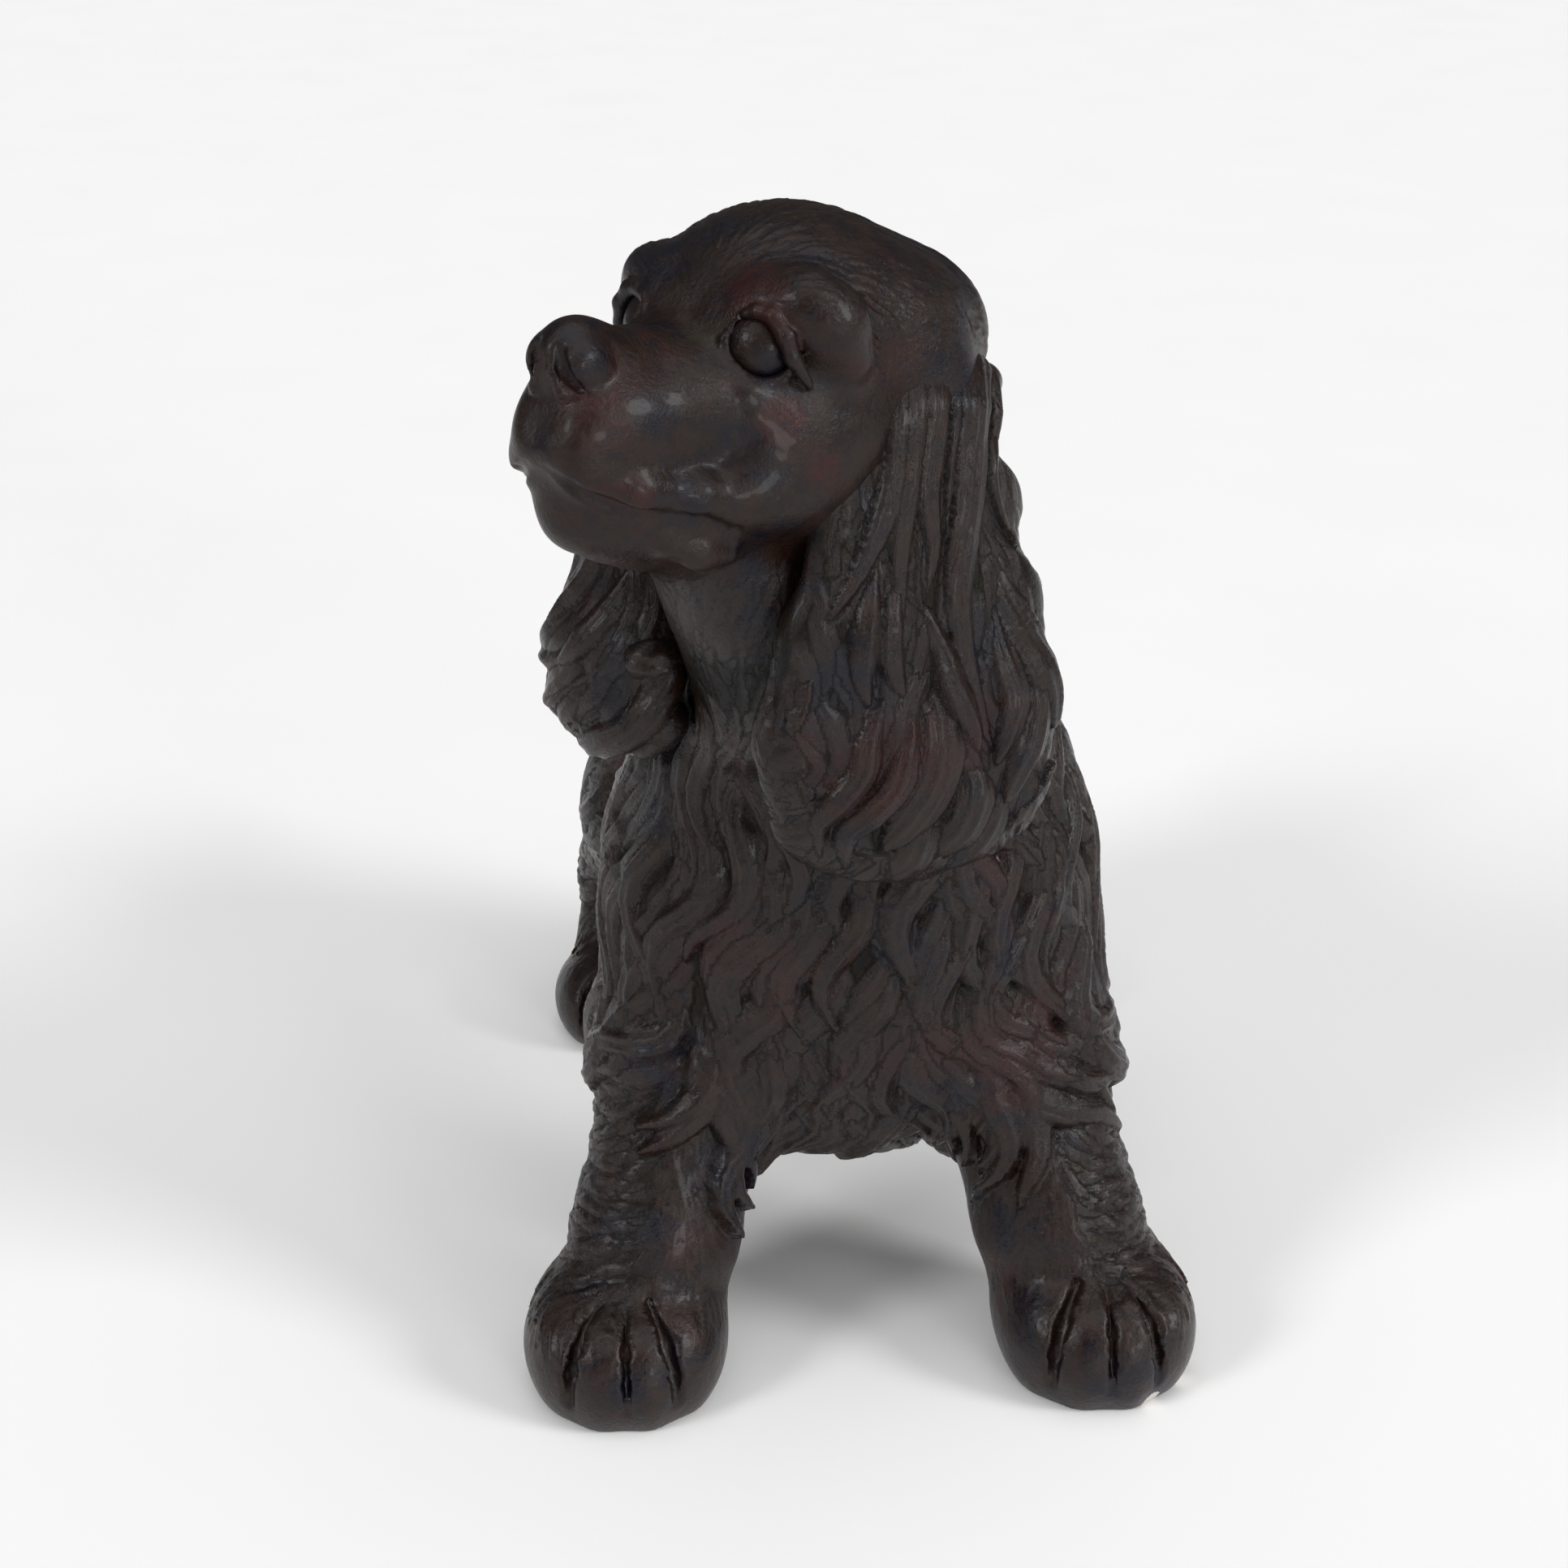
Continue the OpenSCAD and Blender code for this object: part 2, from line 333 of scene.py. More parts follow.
def wrap(clay: Clay, low: Array, high: Array, step: float, coarse: int = 4) -> Skin:
    """Wraps the clay in a net of faces about one step wide.

    Formula: the distance is sampled on a grid, finely only near the surface. Each grid cell
    that the surface passes holds one vertex, the mean of its crossings of the cell's edges,
    and each grid edge that the surface crosses gives one face between its four cells.

    Args:
        clay: what is wrapped.
        low: lowest corner of the grid.
        high: highest corner of the grid.
        step: width of a cell.
        coarse: how many cells a first, rough look takes at once.

    Returns:
        The net.
    """
    wide = step * coarse
    count = np.ceil((high - low) / wide).astype(int)
    axes = [low[k] + wide * np.arange(count[k] + 1) for k in range(3)]
    grid = np.stack(np.meshgrid(*axes, indexing="ij"), -1).reshape(-1, 3)
    rough = clay.distance(grid).reshape(count + 1)
    near = np.abs(rough) < wide * 1.9
    corners = [(i, j, k) for i in (0, 1) for j in (0, 1) for k in (0, 1)]
    busy = np.zeros(count, bool)
    for i, j, k in corners:
        busy |= near[i : count[0] + i, j : count[1] + j, k : count[2] + k]
    fine = count * coarse + 1
    values = np.full(fine, 1e3, np.float32)
    spread = rough[:-1, :-1, :-1]
    for axis in range(3):
        spread = np.repeat(spread, coarse, axis)
    values[:-1, :-1, :-1] = spread
    offsets = np.stack(np.meshgrid(*[np.arange(coarse + 1)] * 3, indexing="ij"), -1).reshape(-1, 3)
    places = (np.argwhere(busy)[:, None, :] * coarse + offsets[None]).reshape(-1, 3)
    flat = np.unique(np.ravel_multi_index(places.T, fine))
    places = np.stack(np.unravel_index(flat, fine), -1)
    values.reshape(-1)[flat] = clay.distance(low + places * step)

    inside = values < 0
    cells = fine - 1
    corner_values = [
        values[i : cells[0] + i, j : cells[1] + j, k : cells[2] + k] for i, j, k in corners
    ]
    depth = sum((value < 0).astype(np.int8) for value in corner_values)
    active = (depth > 0) & (depth < 8)
    where = np.argwhere(active)
    names = np.full(cells, -1, np.int64)
    names[active] = np.arange(len(where))
    stack = np.stack([value[active] for value in corner_values], 1)
    total, hits = np.zeros((len(where), 3)), np.zeros(len(where))
    for a in range(8):
        for b in range(a + 1, 8):
            move = np.array(corners[b]) - np.array(corners[a])
            if np.abs(move).sum() != 1:
                continue
            first, last = stack[:, a], stack[:, b]
            crossed = (first < 0) != (last < 0)
            share = np.where(crossed, first / np.where(crossed, first - last, 1), 0)
            total += np.where(crossed[:, None], np.array(corners[a]) + share[:, None] * move, 0)
            hits += crossed
    points = low + (where + total / hits[:, None]) * step

    faces = []
    for axis in range(3):
        before, after = [slice(None)] * 3, [slice(None)] * 3
        before[axis], after[axis] = slice(0, -1), slice(1, None)
        first, last = inside[tuple(before)], inside[tuple(after)]
        edge = np.argwhere(first != last)
        u, v = (axis + 1) % 3, (axis + 2) % 3
        whole = (edge[:, u] > 0) & (edge[:, v] > 0)
        whole &= (edge[:, u] < cells[u]) & (edge[:, v] < cells[v])
        edge = edge[whole]
        outward = first[tuple(edge.T)]
        ring = []
        for du, dv in ((1, 1), (0, 1), (0, 0), (1, 0)):
            cell = edge.copy()
            cell[:, u] -= du
            cell[:, v] -= dv
            ring.append(names[tuple(cell.T)])
        quads = np.stack(ring, 1)
        quads[~outward] = quads[~outward][:, ::-1]
        faces.append(quads)
    return Skin(points.astype(np.float32), np.concatenate(faces))


def corner_normals(points: Array, faces: Array) -> Array:
    """Unit normal at each vertex: the sum of the cross products of its faces' diagonals."""
    first = points[faces[:, 2]] - points[faces[:, 0]]
    last = points[faces[:, 3]] - points[faces[:, 1]]
    cross = np.cross(first, last)
    total = np.zeros((len(points), 3))
    for axis in range(3):
        weights = np.repeat(cross[:, axis], 4)
        total[:, axis] = np.bincount(faces.ravel(), weights, minlength=len(points))
    return unit(total)


def rim_loops(faces: Array) -> list[Array]:
    """The open rims of a net, each a list of vertices in the order that closes it.

    A rim runs along the sides that faces use more often one way than the other, backwards, so
    that a cap made from it faces outwards. Each such side is used once, so a rim that touches
    itself still closes.
    """
    starts, ends = faces.ravel(), np.roll(faces, -1, axis=1).ravel()
    span = int(faces.max()) + 1
    sides, uses = np.unique(
        np.concatenate([starts * span + ends, ends * span + starts]), return_inverse=True
    )
    sign = np.repeat([1.0, -1.0], len(starts))
    extra = np.round(np.bincount(uses.ravel(), sign)).astype(int)
    open_sides = np.repeat(sides, np.maximum(extra, 0))
    follow: dict[int, list[int]] = {}
    for start, end in zip((open_sides // span).tolist(), (open_sides % span).tolist()):
        follow.setdefault(end, []).append(start)
    loops = []
    while follow:
        first = current = next(iter(follow))
        loop = []
        while True:
            loop.append(current)
            ways = follow[current]
            if len(ways) == 1:
                del follow[current]
            current = ways.pop()
            if current == first:
                break
        loops.append(np.array(loop))
    return loops


def make_piece(
    name: str,
    skin: Skin,
    normals: Array,
    marks: dict[str, Array],
    finish: bpy.types.Material,
) -> bpy.types.Object:
    """Makes a closed, smooth object of a net, with a fan of triangles over each open rim.

    Args:
        name: the object's name.
        skin: its net, in millimetres.
        normals: the shading normal of each vertex.
        marks: named values for each vertex, one number or three each, for the material.
        finish: its material.

    Returns:
        The object, in metres.
    """
    points, faces = skin.points, skin.faces
    tips, fans = [], []
    for loop in rim_loops(faces):
        tip = len(points) + len(tips)
        tips.append(points[loop].mean(0))
        fans.append(np.stack([loop, np.roll(loop, -1), np.full(len(loop), tip)], 1))
    extra = len(tips)
    if extra:
        points = np.concatenate([points, np.array(tips)])
    fan = np.concatenate(fans) if fans else np.zeros((0, 3), int)
    corners = np.concatenate([faces.ravel(), fan.ravel()]).astype(np.int32)
    sizes = np.concatenate([np.full(len(faces), 4), np.full(len(fan), 3)])
    starts = np.concatenate([[0], np.cumsum(sizes)[:-1]]).astype(np.int32)

    mesh = bpy.data.meshes.new(name)
    mesh.vertices.add(len(points))
    mesh.vertices.foreach_set("co", (points * MM).astype(np.float32).ravel())
    mesh.loops.add(len(corners))
    mesh.loops.foreach_set("vertex_index", corners)
    mesh.polygons.add(len(sizes))
    mesh.polygons.foreach_set("loop_start", starts)
    mesh.update(calc_edges=True)
    mesh.polygons.foreach_set("use_smooth", np.arange(len(sizes)) < len(faces))
    for mark, values in marks.items():
        wide = values.ndim == 2
        kind, slot = ("FLOAT_VECTOR", "vector") if wide else ("FLOAT", "value")
        layer = mesh.attributes.new(mark, kind, "POINT")
        pad = np.zeros((extra, 3)) if wide else np.zeros(extra)
        layer.data.foreach_set(slot, np.concatenate([values, pad]).astype(np.float32).ravel())
    shade = np.concatenate([normals, np.tile([[0.0, 0.0, 1.0]], (extra, 1))])
    own = shade[corners]
    if len(fan):
        flat = np.cross(points[fan[:, 1]] - points[fan[:, 0]], points[fan[:, 2]] - points[fan[:, 0]])
        own[faces.size :] = np.repeat(unit(flat), 3, axis=0)
    mesh.normals_split_custom_set(own.astype(np.float32))
    mesh.materials.append(finish)
    thing = bpy.data.objects.new(name, mesh)
    bpy.context.scene.collection.objects.link(thing)
    LOG.info("%s: %d faces, %d rims closed", name, len(sizes), extra)
    return thing


# ---------------------------------------------------------------- hair


def drift(points: Array, width: float, seed: int) -> Array:
    """A smooth wander between about -1 and 1: the mean of seven sines of seeded directions."""
    maker = np.random.default_rng(seed)
    total = np.zeros(len(points))
    for _ in range(7):
        way = maker.normal(size=3)
        way *= maker.uniform(0.6, 1.5) * 2 * np.pi / width / np.linalg.norm(way)
        total += np.sin(points @ way + maker.uniform(0, 6.28))
    return total / 3.2


@dataclass
class Locks:
    """Many locks of hair: lines on the clay, all of the same number of points.

    Attributes:
        lines: lock by lock, the points along it.
        normals: the outward normal at each point.
        width: half width of each lock at its fullest.
        height: how far each one stands up.
        strand: the spacing of the strands on it.
        root: the share of its length over which it widens.
        tip: the share of its length over which it narrows.
    """

    lines: Array
    normals: Array
    width: Array
    height: Array
    strand: Array
    root: Array
    tip: Array

    @staticmethod
    def together(groups: "Sequence[Locks]") -> "Locks":
        """Several groups as one; shorter lines repeat their last point."""
        most = max(group.lines.shape[1] for group in groups)
        whole = {name: [getattr(group, name) for group in groups] for name in LOCK_FIELDS}
        for name in ("lines", "normals"):
            whole[name] = [
                np.pad(rows, ((0, 0), (0, most - rows.shape[1]), (0, 0)), mode="edge")
                for rows in whole[name]
            ]
        return Locks(**{name: np.concatenate(rows) for name, rows in whole.items()})


@dataclass
class Combed:
    """What the hair does to each vertex of a skin.

    Attributes:
        rise: how far it stands up, in millimetres.
        across: where the vertex lies across its lock, in millimetres.
        along: where it lies along its lock, in millimetres.
        shade: a number from 0 to 1 of its own for each lock.
    """

    rise: Array
    across: Array
    along: Array
    shade: Array


@dataclass
class Coat:
    """Combs locks over a skin.

    Attributes:
        cell: width of the cells into which the skin is sorted.
        overlap: how far a lock's tip rides up over the roots of the next, of its height.
        groove: depth of the grooves between strands, of the lock's height.
        seed: the seed for the locks' own small differences.
    """

    ROOT_POWER: ClassVar[float] = 0.7  # below 1, so a lock widens fast from its root
    TIP_POWER: ClassVar[float] = 0.65  # below 1, so it ends in a rounded point
    FLAT: ClassVar[float] = 0.12  # share of the height that the thinnest part keeps

    cell: float = 14.0
    overlap: float = 0.75
    groove: float = 0.22
    seed: int = 5

    def comb(self, points: Array, locks: Locks) -> Combed:
        """Works out the relief at each point.

        Formula: each stretch of a lock gives the point its distance r from the line, and with
        u = r over the width there the rise is the height times the overlap, which grows from
        root to tip, plus the root of 1 less u squared, less the grooves, which are a cosine of
        the distance across. The width grows fast from the root and ends in a rounded point.
        The point takes the greatest rise of all the locks that reach it.

        Args:
            points: rows on the skin.
            locks: the locks.

        Returns:
            The relief and the lock coordinates of each point.
        """
        count = len(points)
        rise, across = np.zeros(count, np.float32), np.zeros(count, np.float32)
        along, shade = np.zeros(count, np.float32), np.zeros(count, np.float32)
        starts, ends = locks.lines[:, :-1], locks.lines[:, 1:]
        size = np.linalg.norm(ends - starts, axis=2)
        travel = np.concatenate([np.zeros((len(size), 1)), np.cumsum(size, 1)], 1)
        whole = np.maximum(travel[:, -1:], 1e-6)
        number, stretch = np.nonzero(size > 1e-3)
        a, b = starts[number, stretch], ends[number, stretch]
        normal = unit(locks.normals[number, stretch])
        way = b - a
        long = np.linalg.norm(way, axis=1)
        side = unit(np.cross(normal, way))
        from_root = travel[number, stretch]
        total = whole[number, 0]
        width, height, strand = locks.width[number], locks.height[number], locks.strand[number]
        root, tip = locks.root[number], locks.tip[number]
        maker = np.random.default_rng(self.seed)
        own = maker.random(len(locks.width))[number]

        origin = points.min(0) - 1
        grid = (np.floor((points.max(0) - origin) / self.cell) + 2).astype(np.int64)

        def name(cells: Array) -> Array:
            """One number for each cell."""
            return (cells[:, 0] * grid[1] + cells[:, 1]) * grid[2] + cells[:, 2]

        key = name(np.floor((points - origin) / self.cell).astype(np.int64))
        order = np.argsort(key, kind="stable")
        cells, first = np.unique(key[order], return_index=True)
        last = np.append(first[1:], count)
        reach = width + long / 2
        low = np.floor(((a + b) / 2 - reach[:, None] - origin) / self.cell).astype(np.int64)
        high = np.floor(((a + b) / 2 + reach[:, None] - origin) / self.cell).astype(np.int64)
        low, high = np.clip(low, 0, grid - 1), np.clip(high, 0, grid - 1)
        keys, owners = [], []
        most = (high - low).max(0) + 1
        for i in range(most[0]):
            for j in range(most[1]):
                for k in range(most[2]):
                    cell = low + np.array([i, j, k])
                    fits = np.flatnonzero((cell <= high).all(1))
                    keys.append(name(cell[fits]))
                    owners.append(fits)
        keys, owners = np.concatenate(keys), np.concatenate(owners)
        sort = np.argsort(keys, kind="stable")
        keys, owners = keys[sort], owners[sort]
        left = np.searchsorted(keys, cells, "left")
        right = np.searchsorted(keys, cells, "right")
        for n in range(len(cells)):
            if left[n] == right[n]:
                continue
            rows, who = order[first[n] : last[n]], owners[left[n] : right[n]]
            local = points[rows][:, None] - a[who][None]
            share = np.einsum("ijk,jk->ij", local, way[who]) / (long[who] ** 2)
            share = np.clip(share, 0, 1)
            local = local - share[..., None] * way[who][None]
            off = np.einsum("ijk,jk->ij", local, normal[who])
            flat = np.einsum("ijk,ijk->ij", local, local) - off * off
            put = (from_root[who] + share * long[who]) / total[who]
            swell = np.minimum(put / root[who], 1) ** self.ROOT_POWER
            swell = swell * np.clip((1 - put) / tip[who], 0, 1) ** self.TIP_POWER
            reach_here = np.maximum(width[who] * swell, 1e-3)
            u2 = np.maximum(flat, 0) / reach_here**2
            dome = np.sqrt(np.maximum(1 - u2, 0))
            sideways = np.einsum("ijk,jk->ij", local, side[who])
            wave = np.cos(2 * np.pi * (sideways / strand[who] + own[who]))
            lift = self.overlap * put + dome * (self.FLAT + (1 - self.FLAT) * swell)
            lift = lift - self.groove * (0.5 - 0.5 * wave) * dome
            value = height[who] * lift
            value[(u2 >= 1) | (np.abs(off) > reach_here * 1.6 + 4)] = 0
            best = value.argmax(1)
            pick = np.arange(len(rows))
            found = value[pick, best]
            better = found > rise[rows]
            where, best, pick = rows[better], best[better], pick[better]
            rise[where] = found[better]
            across[where] = sideways[pick, best]
            along[where] = put[pick, best] * total[who][best]
            shade[where] = own[who][best]
        return Combed(rise, across, along, shade)


@dataclass
class Flow:
    """How hair grows over a stretch of clay.

    Attributes:
        way: the direction of growth at each point.
        wave: how far the locks swing from side to side, in radians.
        swing: the length of one swing.
        width: half width of a lock at a point.
        height: how far a lock stands up at a point.
        long: the length of a lock at a point.
        strand: spacing of the strands on a lock.
        seed: seed for the places of the roots.
    """

    way: Callable[[Array], Array]
    wave: Callable[[Array], Array]
    swing: float
    width: Callable[[Array], Array]
    height: Callable[[Array], Array]
    long: Callable[[Array], Array]
    strand: float = 3.0
    seed: int = 1

    def grow(self, clay: Clay, roots: Array, steps: int = 12) -> Locks:
        """Traces a lock from each root over the clay.

        Formula: each step follows the direction of growth, laid flat on the surface and
        turned by the wave, the sine of the distance from the root, and then settles on the
        clay. The wave's phase wanders slowly over the body, so neighbours swing together.

        Args:
            clay: what the hair grows on.
            roots: one root a row.
            steps: how many steps a lock has.

        Returns:
            The locks.
        """
        maker = np.random.default_rng(self.seed)
        long = self.long(roots) * maker.uniform(0.75, 1.25, len(roots))
        phase = drift(roots, 150, self.seed) * 3.6 + maker.normal(0, 0.22, len(roots))
        lean = maker.normal(0, 0.12, len(roots))
        swing = self.wave(roots)
        here = roots.astype(np.float32)
        normal = unit(clay.slope(here))
        lines, normals = [here], [normal]
        for step in range(steps):
            way = self.way(here)
            way = unit(way - normal * np.einsum("ij,ij->i", way, normal)[:, None])
            side = np.cross(normal, way)
            done = long * step / steps
            turn = lean + swing * np.sin(2 * np.pi * done / self.swing + phase)
            way = way * np.cos(turn)[:, None] + side * np.sin(turn)[:, None]
            here = (here + way * (long / steps)[:, None]).astype(np.float32)
            slope = clay.slope(here)
            here = here - unit(slope) * np.clip(clay.distance(here), -3, 3)[:, None]
            normal = unit(slope)
            lines.append(here)
            normals.append(normal)
        spread = maker.uniform(0.8, 1.2, len(roots))
        return Locks(
            np.stack(lines, 1),
            np.stack(normals, 1),
            self.width(roots) * spread,
            self.height(roots) * maker.uniform(0.75, 1.25, len(roots)),
            np.full(len(roots), self.strand),
            np.full(len(roots), 0.34),
            np.full(len(roots), 0.5),
        )


def scatter(points: Array, spacing: Array, seed: int) -> Array:
    """Picks points about one spacing apart: one at random from each cell of that width.

    The spacing differs from point to point, so the points are first sorted into four classes
    of spacing, each of which has cells of its own width.
    """
    maker = np.random.default_rng(seed)
    order = maker.permutation(len(points))
    limits = np.quantile(spacing, [0.25, 0.5, 0.75])
    group = np.searchsorted(limits, spacing[order])
    chosen = []
    for level in range(4):
        rows = order[group == level]
        if not len(rows):
            continue
        width = float(spacing[rows].mean())
        cells = np.floor(points[rows] / width + maker.random(3)).astype(np.int64)
        cells -= cells.min(0)
        size = cells.max(0) + 1
        key = (cells[:, 0] * size[1] + cells[:, 1]) * size[2] + cells[:, 2]
        chosen.append(rows[np.unique(key, return_index=True)[1]])
    return points[np.concatenate(chosen)]


# ---------------------------------------------------------------- where the parts stand


@dataclass(frozen=True)
class Place:
    """A spot with axes of its own, such as a head's forward, left and up."""

    origin: Array
    axes: Array

    def at(self, *local: float) -> Array:
        """The world point with these coordinates on the place's own axes."""
        return self.origin + self.axes @ np.array(local)

    def local(self, points: Array) -> Array:
        """The points on the place's own axes."""
        return (points - self.origin) @ self.axes

    def way(self, *local: float) -> Array:
        """The world direction of a direction on the place's own axes."""
        return self.axes @ np.array(local)


@dataclass(frozen=True)
class Stance:
    """Where the CAD model puts the figure's parts, in millimetres.

    Attributes:
        head: the middle of the skull, with axes forward, left and up.
        paws: the middle of each felt pad on the floor, by "fore" or "hind" and side.
        breast: the foremost point of the chest.
        seam: the plane between the chest casting and the rump casting.
        tail: the lowest and highest corners of the tail.
    """

    head: Place
    paws: dict[tuple[str, int], Array]
    breast: float
    seam: float
    tail: Array

    @staticmethod
    def box(node: str) -> Array:
        """The lowest and highest corners of a CAD node."""
        return np.array([list(corner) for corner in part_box(node)]) / MM

    @classmethod
    def read(cls, pitch: float = 13.0, eye_forward: float = 46.0, eye_up: float = 9.0) -> "Stance":
        """Takes the places from the CAD nodes.

        Args:
            pitch: how far the muzzle points up, in degrees.
            eye_forward: how far the eyes lie in front of the middle of the skull.
            eye_up: how far they lie above it.

        Returns:
            The stance.
        """
        left, right = (cls.box(f"eyeball_{side}").mean(0) for side in ("left", "right"))
        across = (left - right) / np.linalg.norm(left - right)
        level = np.array([across[1], -across[0], 0.0])
        rise = np.radians(pitch)
        ahead = level * np.cos(rise) + np.array([0, 0, np.sin(rise)])
        axes = np.stack([ahead, across, np.cross(ahead, across)], 1)
        origin = (left + right) / 2 - axes @ np.array([eye_forward, 0, eye_up])
        paws = {
            (end, sign): cls.box(f"pad_{end}_{side}").mean(0) * [1, 1, 0]
            for end in ("fore", "hind")
            for side, sign in (("left", LEFT), ("right", RIGHT))
        }
        return cls(
            Place(origin, axes),
            paws,
            float(cls.box("chest_shell")[0, 1]),
            float(cls.box("trunk_slip").mean(0)[1]),
            cls.box("tail"),
        )


@dataclass(frozen=True)
class Tool:
    """Adds or cuts forms on the axes of a place."""

    clay: Clay
    place: Place

    def egg(
        self, centre: Spot, radii: Sequence[float], blend: float, join: Join = Join.ADD
    ) -> None:
        """An ellipsoid on the place's axes."""
        self.clay.egg(self.place.at(*centre), radii, blend, join, self.place.axes)

    def path(
        self, points: Sequence[Spot], radii: Sequence[float], blend: float, join: Join = Join.ADD
    ) -> None:
        """Round-ended cones through points on the place's axes."""
        self.clay.path([self.place.at(*point) for point in points], radii, blend, join)


# ---------------------------------------------------------------- the clay of each part


@dataclass
class Trunk:
    """Chest, barrel and rump.

    Attributes:
        chest_half: half width of the chest.
        barrel: radius of the body behind the shoulders; not used.
        vent: radius of the vent hole in the belly.
        vent_back: how far behind the seam the vent hole is.
    """

    chest_half: float = 72.0
    barrel: float = 66.0
    vent: float = 6.0
    vent_back: float = 34.0

    def model(self, clay: Clay, stance: Stance) -> None:
        """Adds the trunk to the clay and cuts the vent hole."""
        front = stance.breast + 62
        clay.egg((-2, front, 165), (self.chest_half, 62, 92), 10)
        clay.egg((-2, front + 4, 215), (self.chest_half - 2, 54, 60), 20)
        clay.egg((0, front + 6, 114), (66, 50, 50), 18)
        clay.bone((0, front + 36, 178), (0, front + 116, 172), 68, 64, 25)
        clay.bone((0, front + 116, 172), (0, front + 196, 178), 64, 60, 25)
        seat = stance.seam + self.vent_back
        clay.bone((0, seat, 60), (0, seat, 150), self.vent, self.vent, 1.5, Join.CUT)


@dataclass
class Leg:
    """One leg and its paw.

    Attributes:
        end: "fore" or "hind".
        side: LEFT or RIGHT.
    """

    end: str
    side: int

    def model(self, clay: Clay, stance: Stance) -> None:
        """Adds the leg to the clay."""
        paw = stance.paws[self.end, self.side]
        s = self.side

        def from_paw(out: float, back: float, up: float) -> tuple[float, float, float]:
            """A point so far outside, behind and above the paw's middle."""
            return (paw[0] + s * out, paw[1] + back, up)

        if self.end == "fore":
            clay.bone(from_paw(-39, 56, 175), from_paw(-27, 42, 105), 38, 32, 18)
            clay.bone(from_paw(-27, 42, 105), from_paw(-12, 18, 48), 31, 28, 12)
            clay.bone(from_paw(-12, 18, 48), from_paw(-4, 10, 26), 28, 27, 10)
            self.paw(clay, from_paw(0, 0, 0), (37, 38, 26), 17)
        else:
            clay.bone(from_paw(-42, 0, 165), from_paw(-22, -15, 110), 46, 30, 20)
            clay.bone(from_paw(-22, -15, 110), from_paw(-6, 38, 62), 28, 20, 14)
            clay.bone(from_paw(-6, 38, 62), from_paw(-2, 28, 24), 19, 19, 12)
            self.paw(clay, from_paw(0, 0, 0), (29, 36, 20), 15)

    def paw(
        self, clay: Clay, floor: Sequence[float], half: Sequence[float], up: float
    ) -> None:
        """Adds the paw: a mound, four toes with grooves between them, and a flat sole.

        Args:
            clay: what it is added to.
            floor: the paw's middle on the floor.
            half: the mound's half axes.
            up: the height of the mound's middle.
        """
        x, y, _ = floor
        wide, long, tall = half
        clay.egg((x, y + 1, up), (wide * 0.99, long * 0.97, tall * 1.02), 11)
        for number, turn in enumerate((-0.74, -0.27, 0.24, 0.72)):
            angle = turn * 1.12
            reach = long * (0.6 if number in (1, 2) else 0.5)
            at = (x + wide * 0.74 * np.sin(angle), y - reach * np.cos(angle), up * 0.9)
            size = tall * (0.82 if number in (1, 2) else 0.76)
            clay.egg(at, (wide * 0.31, long * 0.43, size), 10)
        for turn, deep in ((-0.5, 1.0), (0.0, 0.55), (0.42, 0.9)):
            angle = turn * 1.12
            line = [
                (x + wide * far * np.sin(angle), y - long * far * np.cos(angle), up * high)
                for far, high in ((1.04, 0.7), (0.97, 1.3), (0.85, 1.85), (0.5, 2.45))
            ]
            radii = [deep * radius for radius in (1.6, 2.5, 2.9, 1.8)]
            clay.path(line, radii, 2.0, Join.CUT)


@dataclass
class Tail:
    """The docked tail."""

    def model(self, clay: Clay, stance: Stance) -> None:
        """Adds the tail to the clay, between the corners of the CAD tail."""
        low, high = stance.tail
        clay.bone((0, low[1] + 9, low[2] + 14), (0, high[1] - 15, high[2] - 15), 16, 14, 9)
        clay.bone((0, low[1] - 14, low[2]), (0, low[1] + 9, low[2] + 14), 24, 16, 14)


@dataclass
class Neck:
    """The neck, from the withers to the skull."""

    def model(self, clay: Clay, stance: Stance) -> None:
        """Adds the neck to the clay."""
        skull = stance.head.origin
        low = (0, skull[1] + 52, 220)
        middle = (skull[0] + 16, skull[1] + 30, 300)
        top = (skull[0] + 8, skull[1] + 14, 345)
        clay.bone(low, middle, 62, 52, 30)
        clay.bone(middle, top, 52, 50, 15)
        clay.bone(stance.head.at(30, 0, -46), (skull[0] + 4, skull[1] - 4, 272), 24, 42, 16)


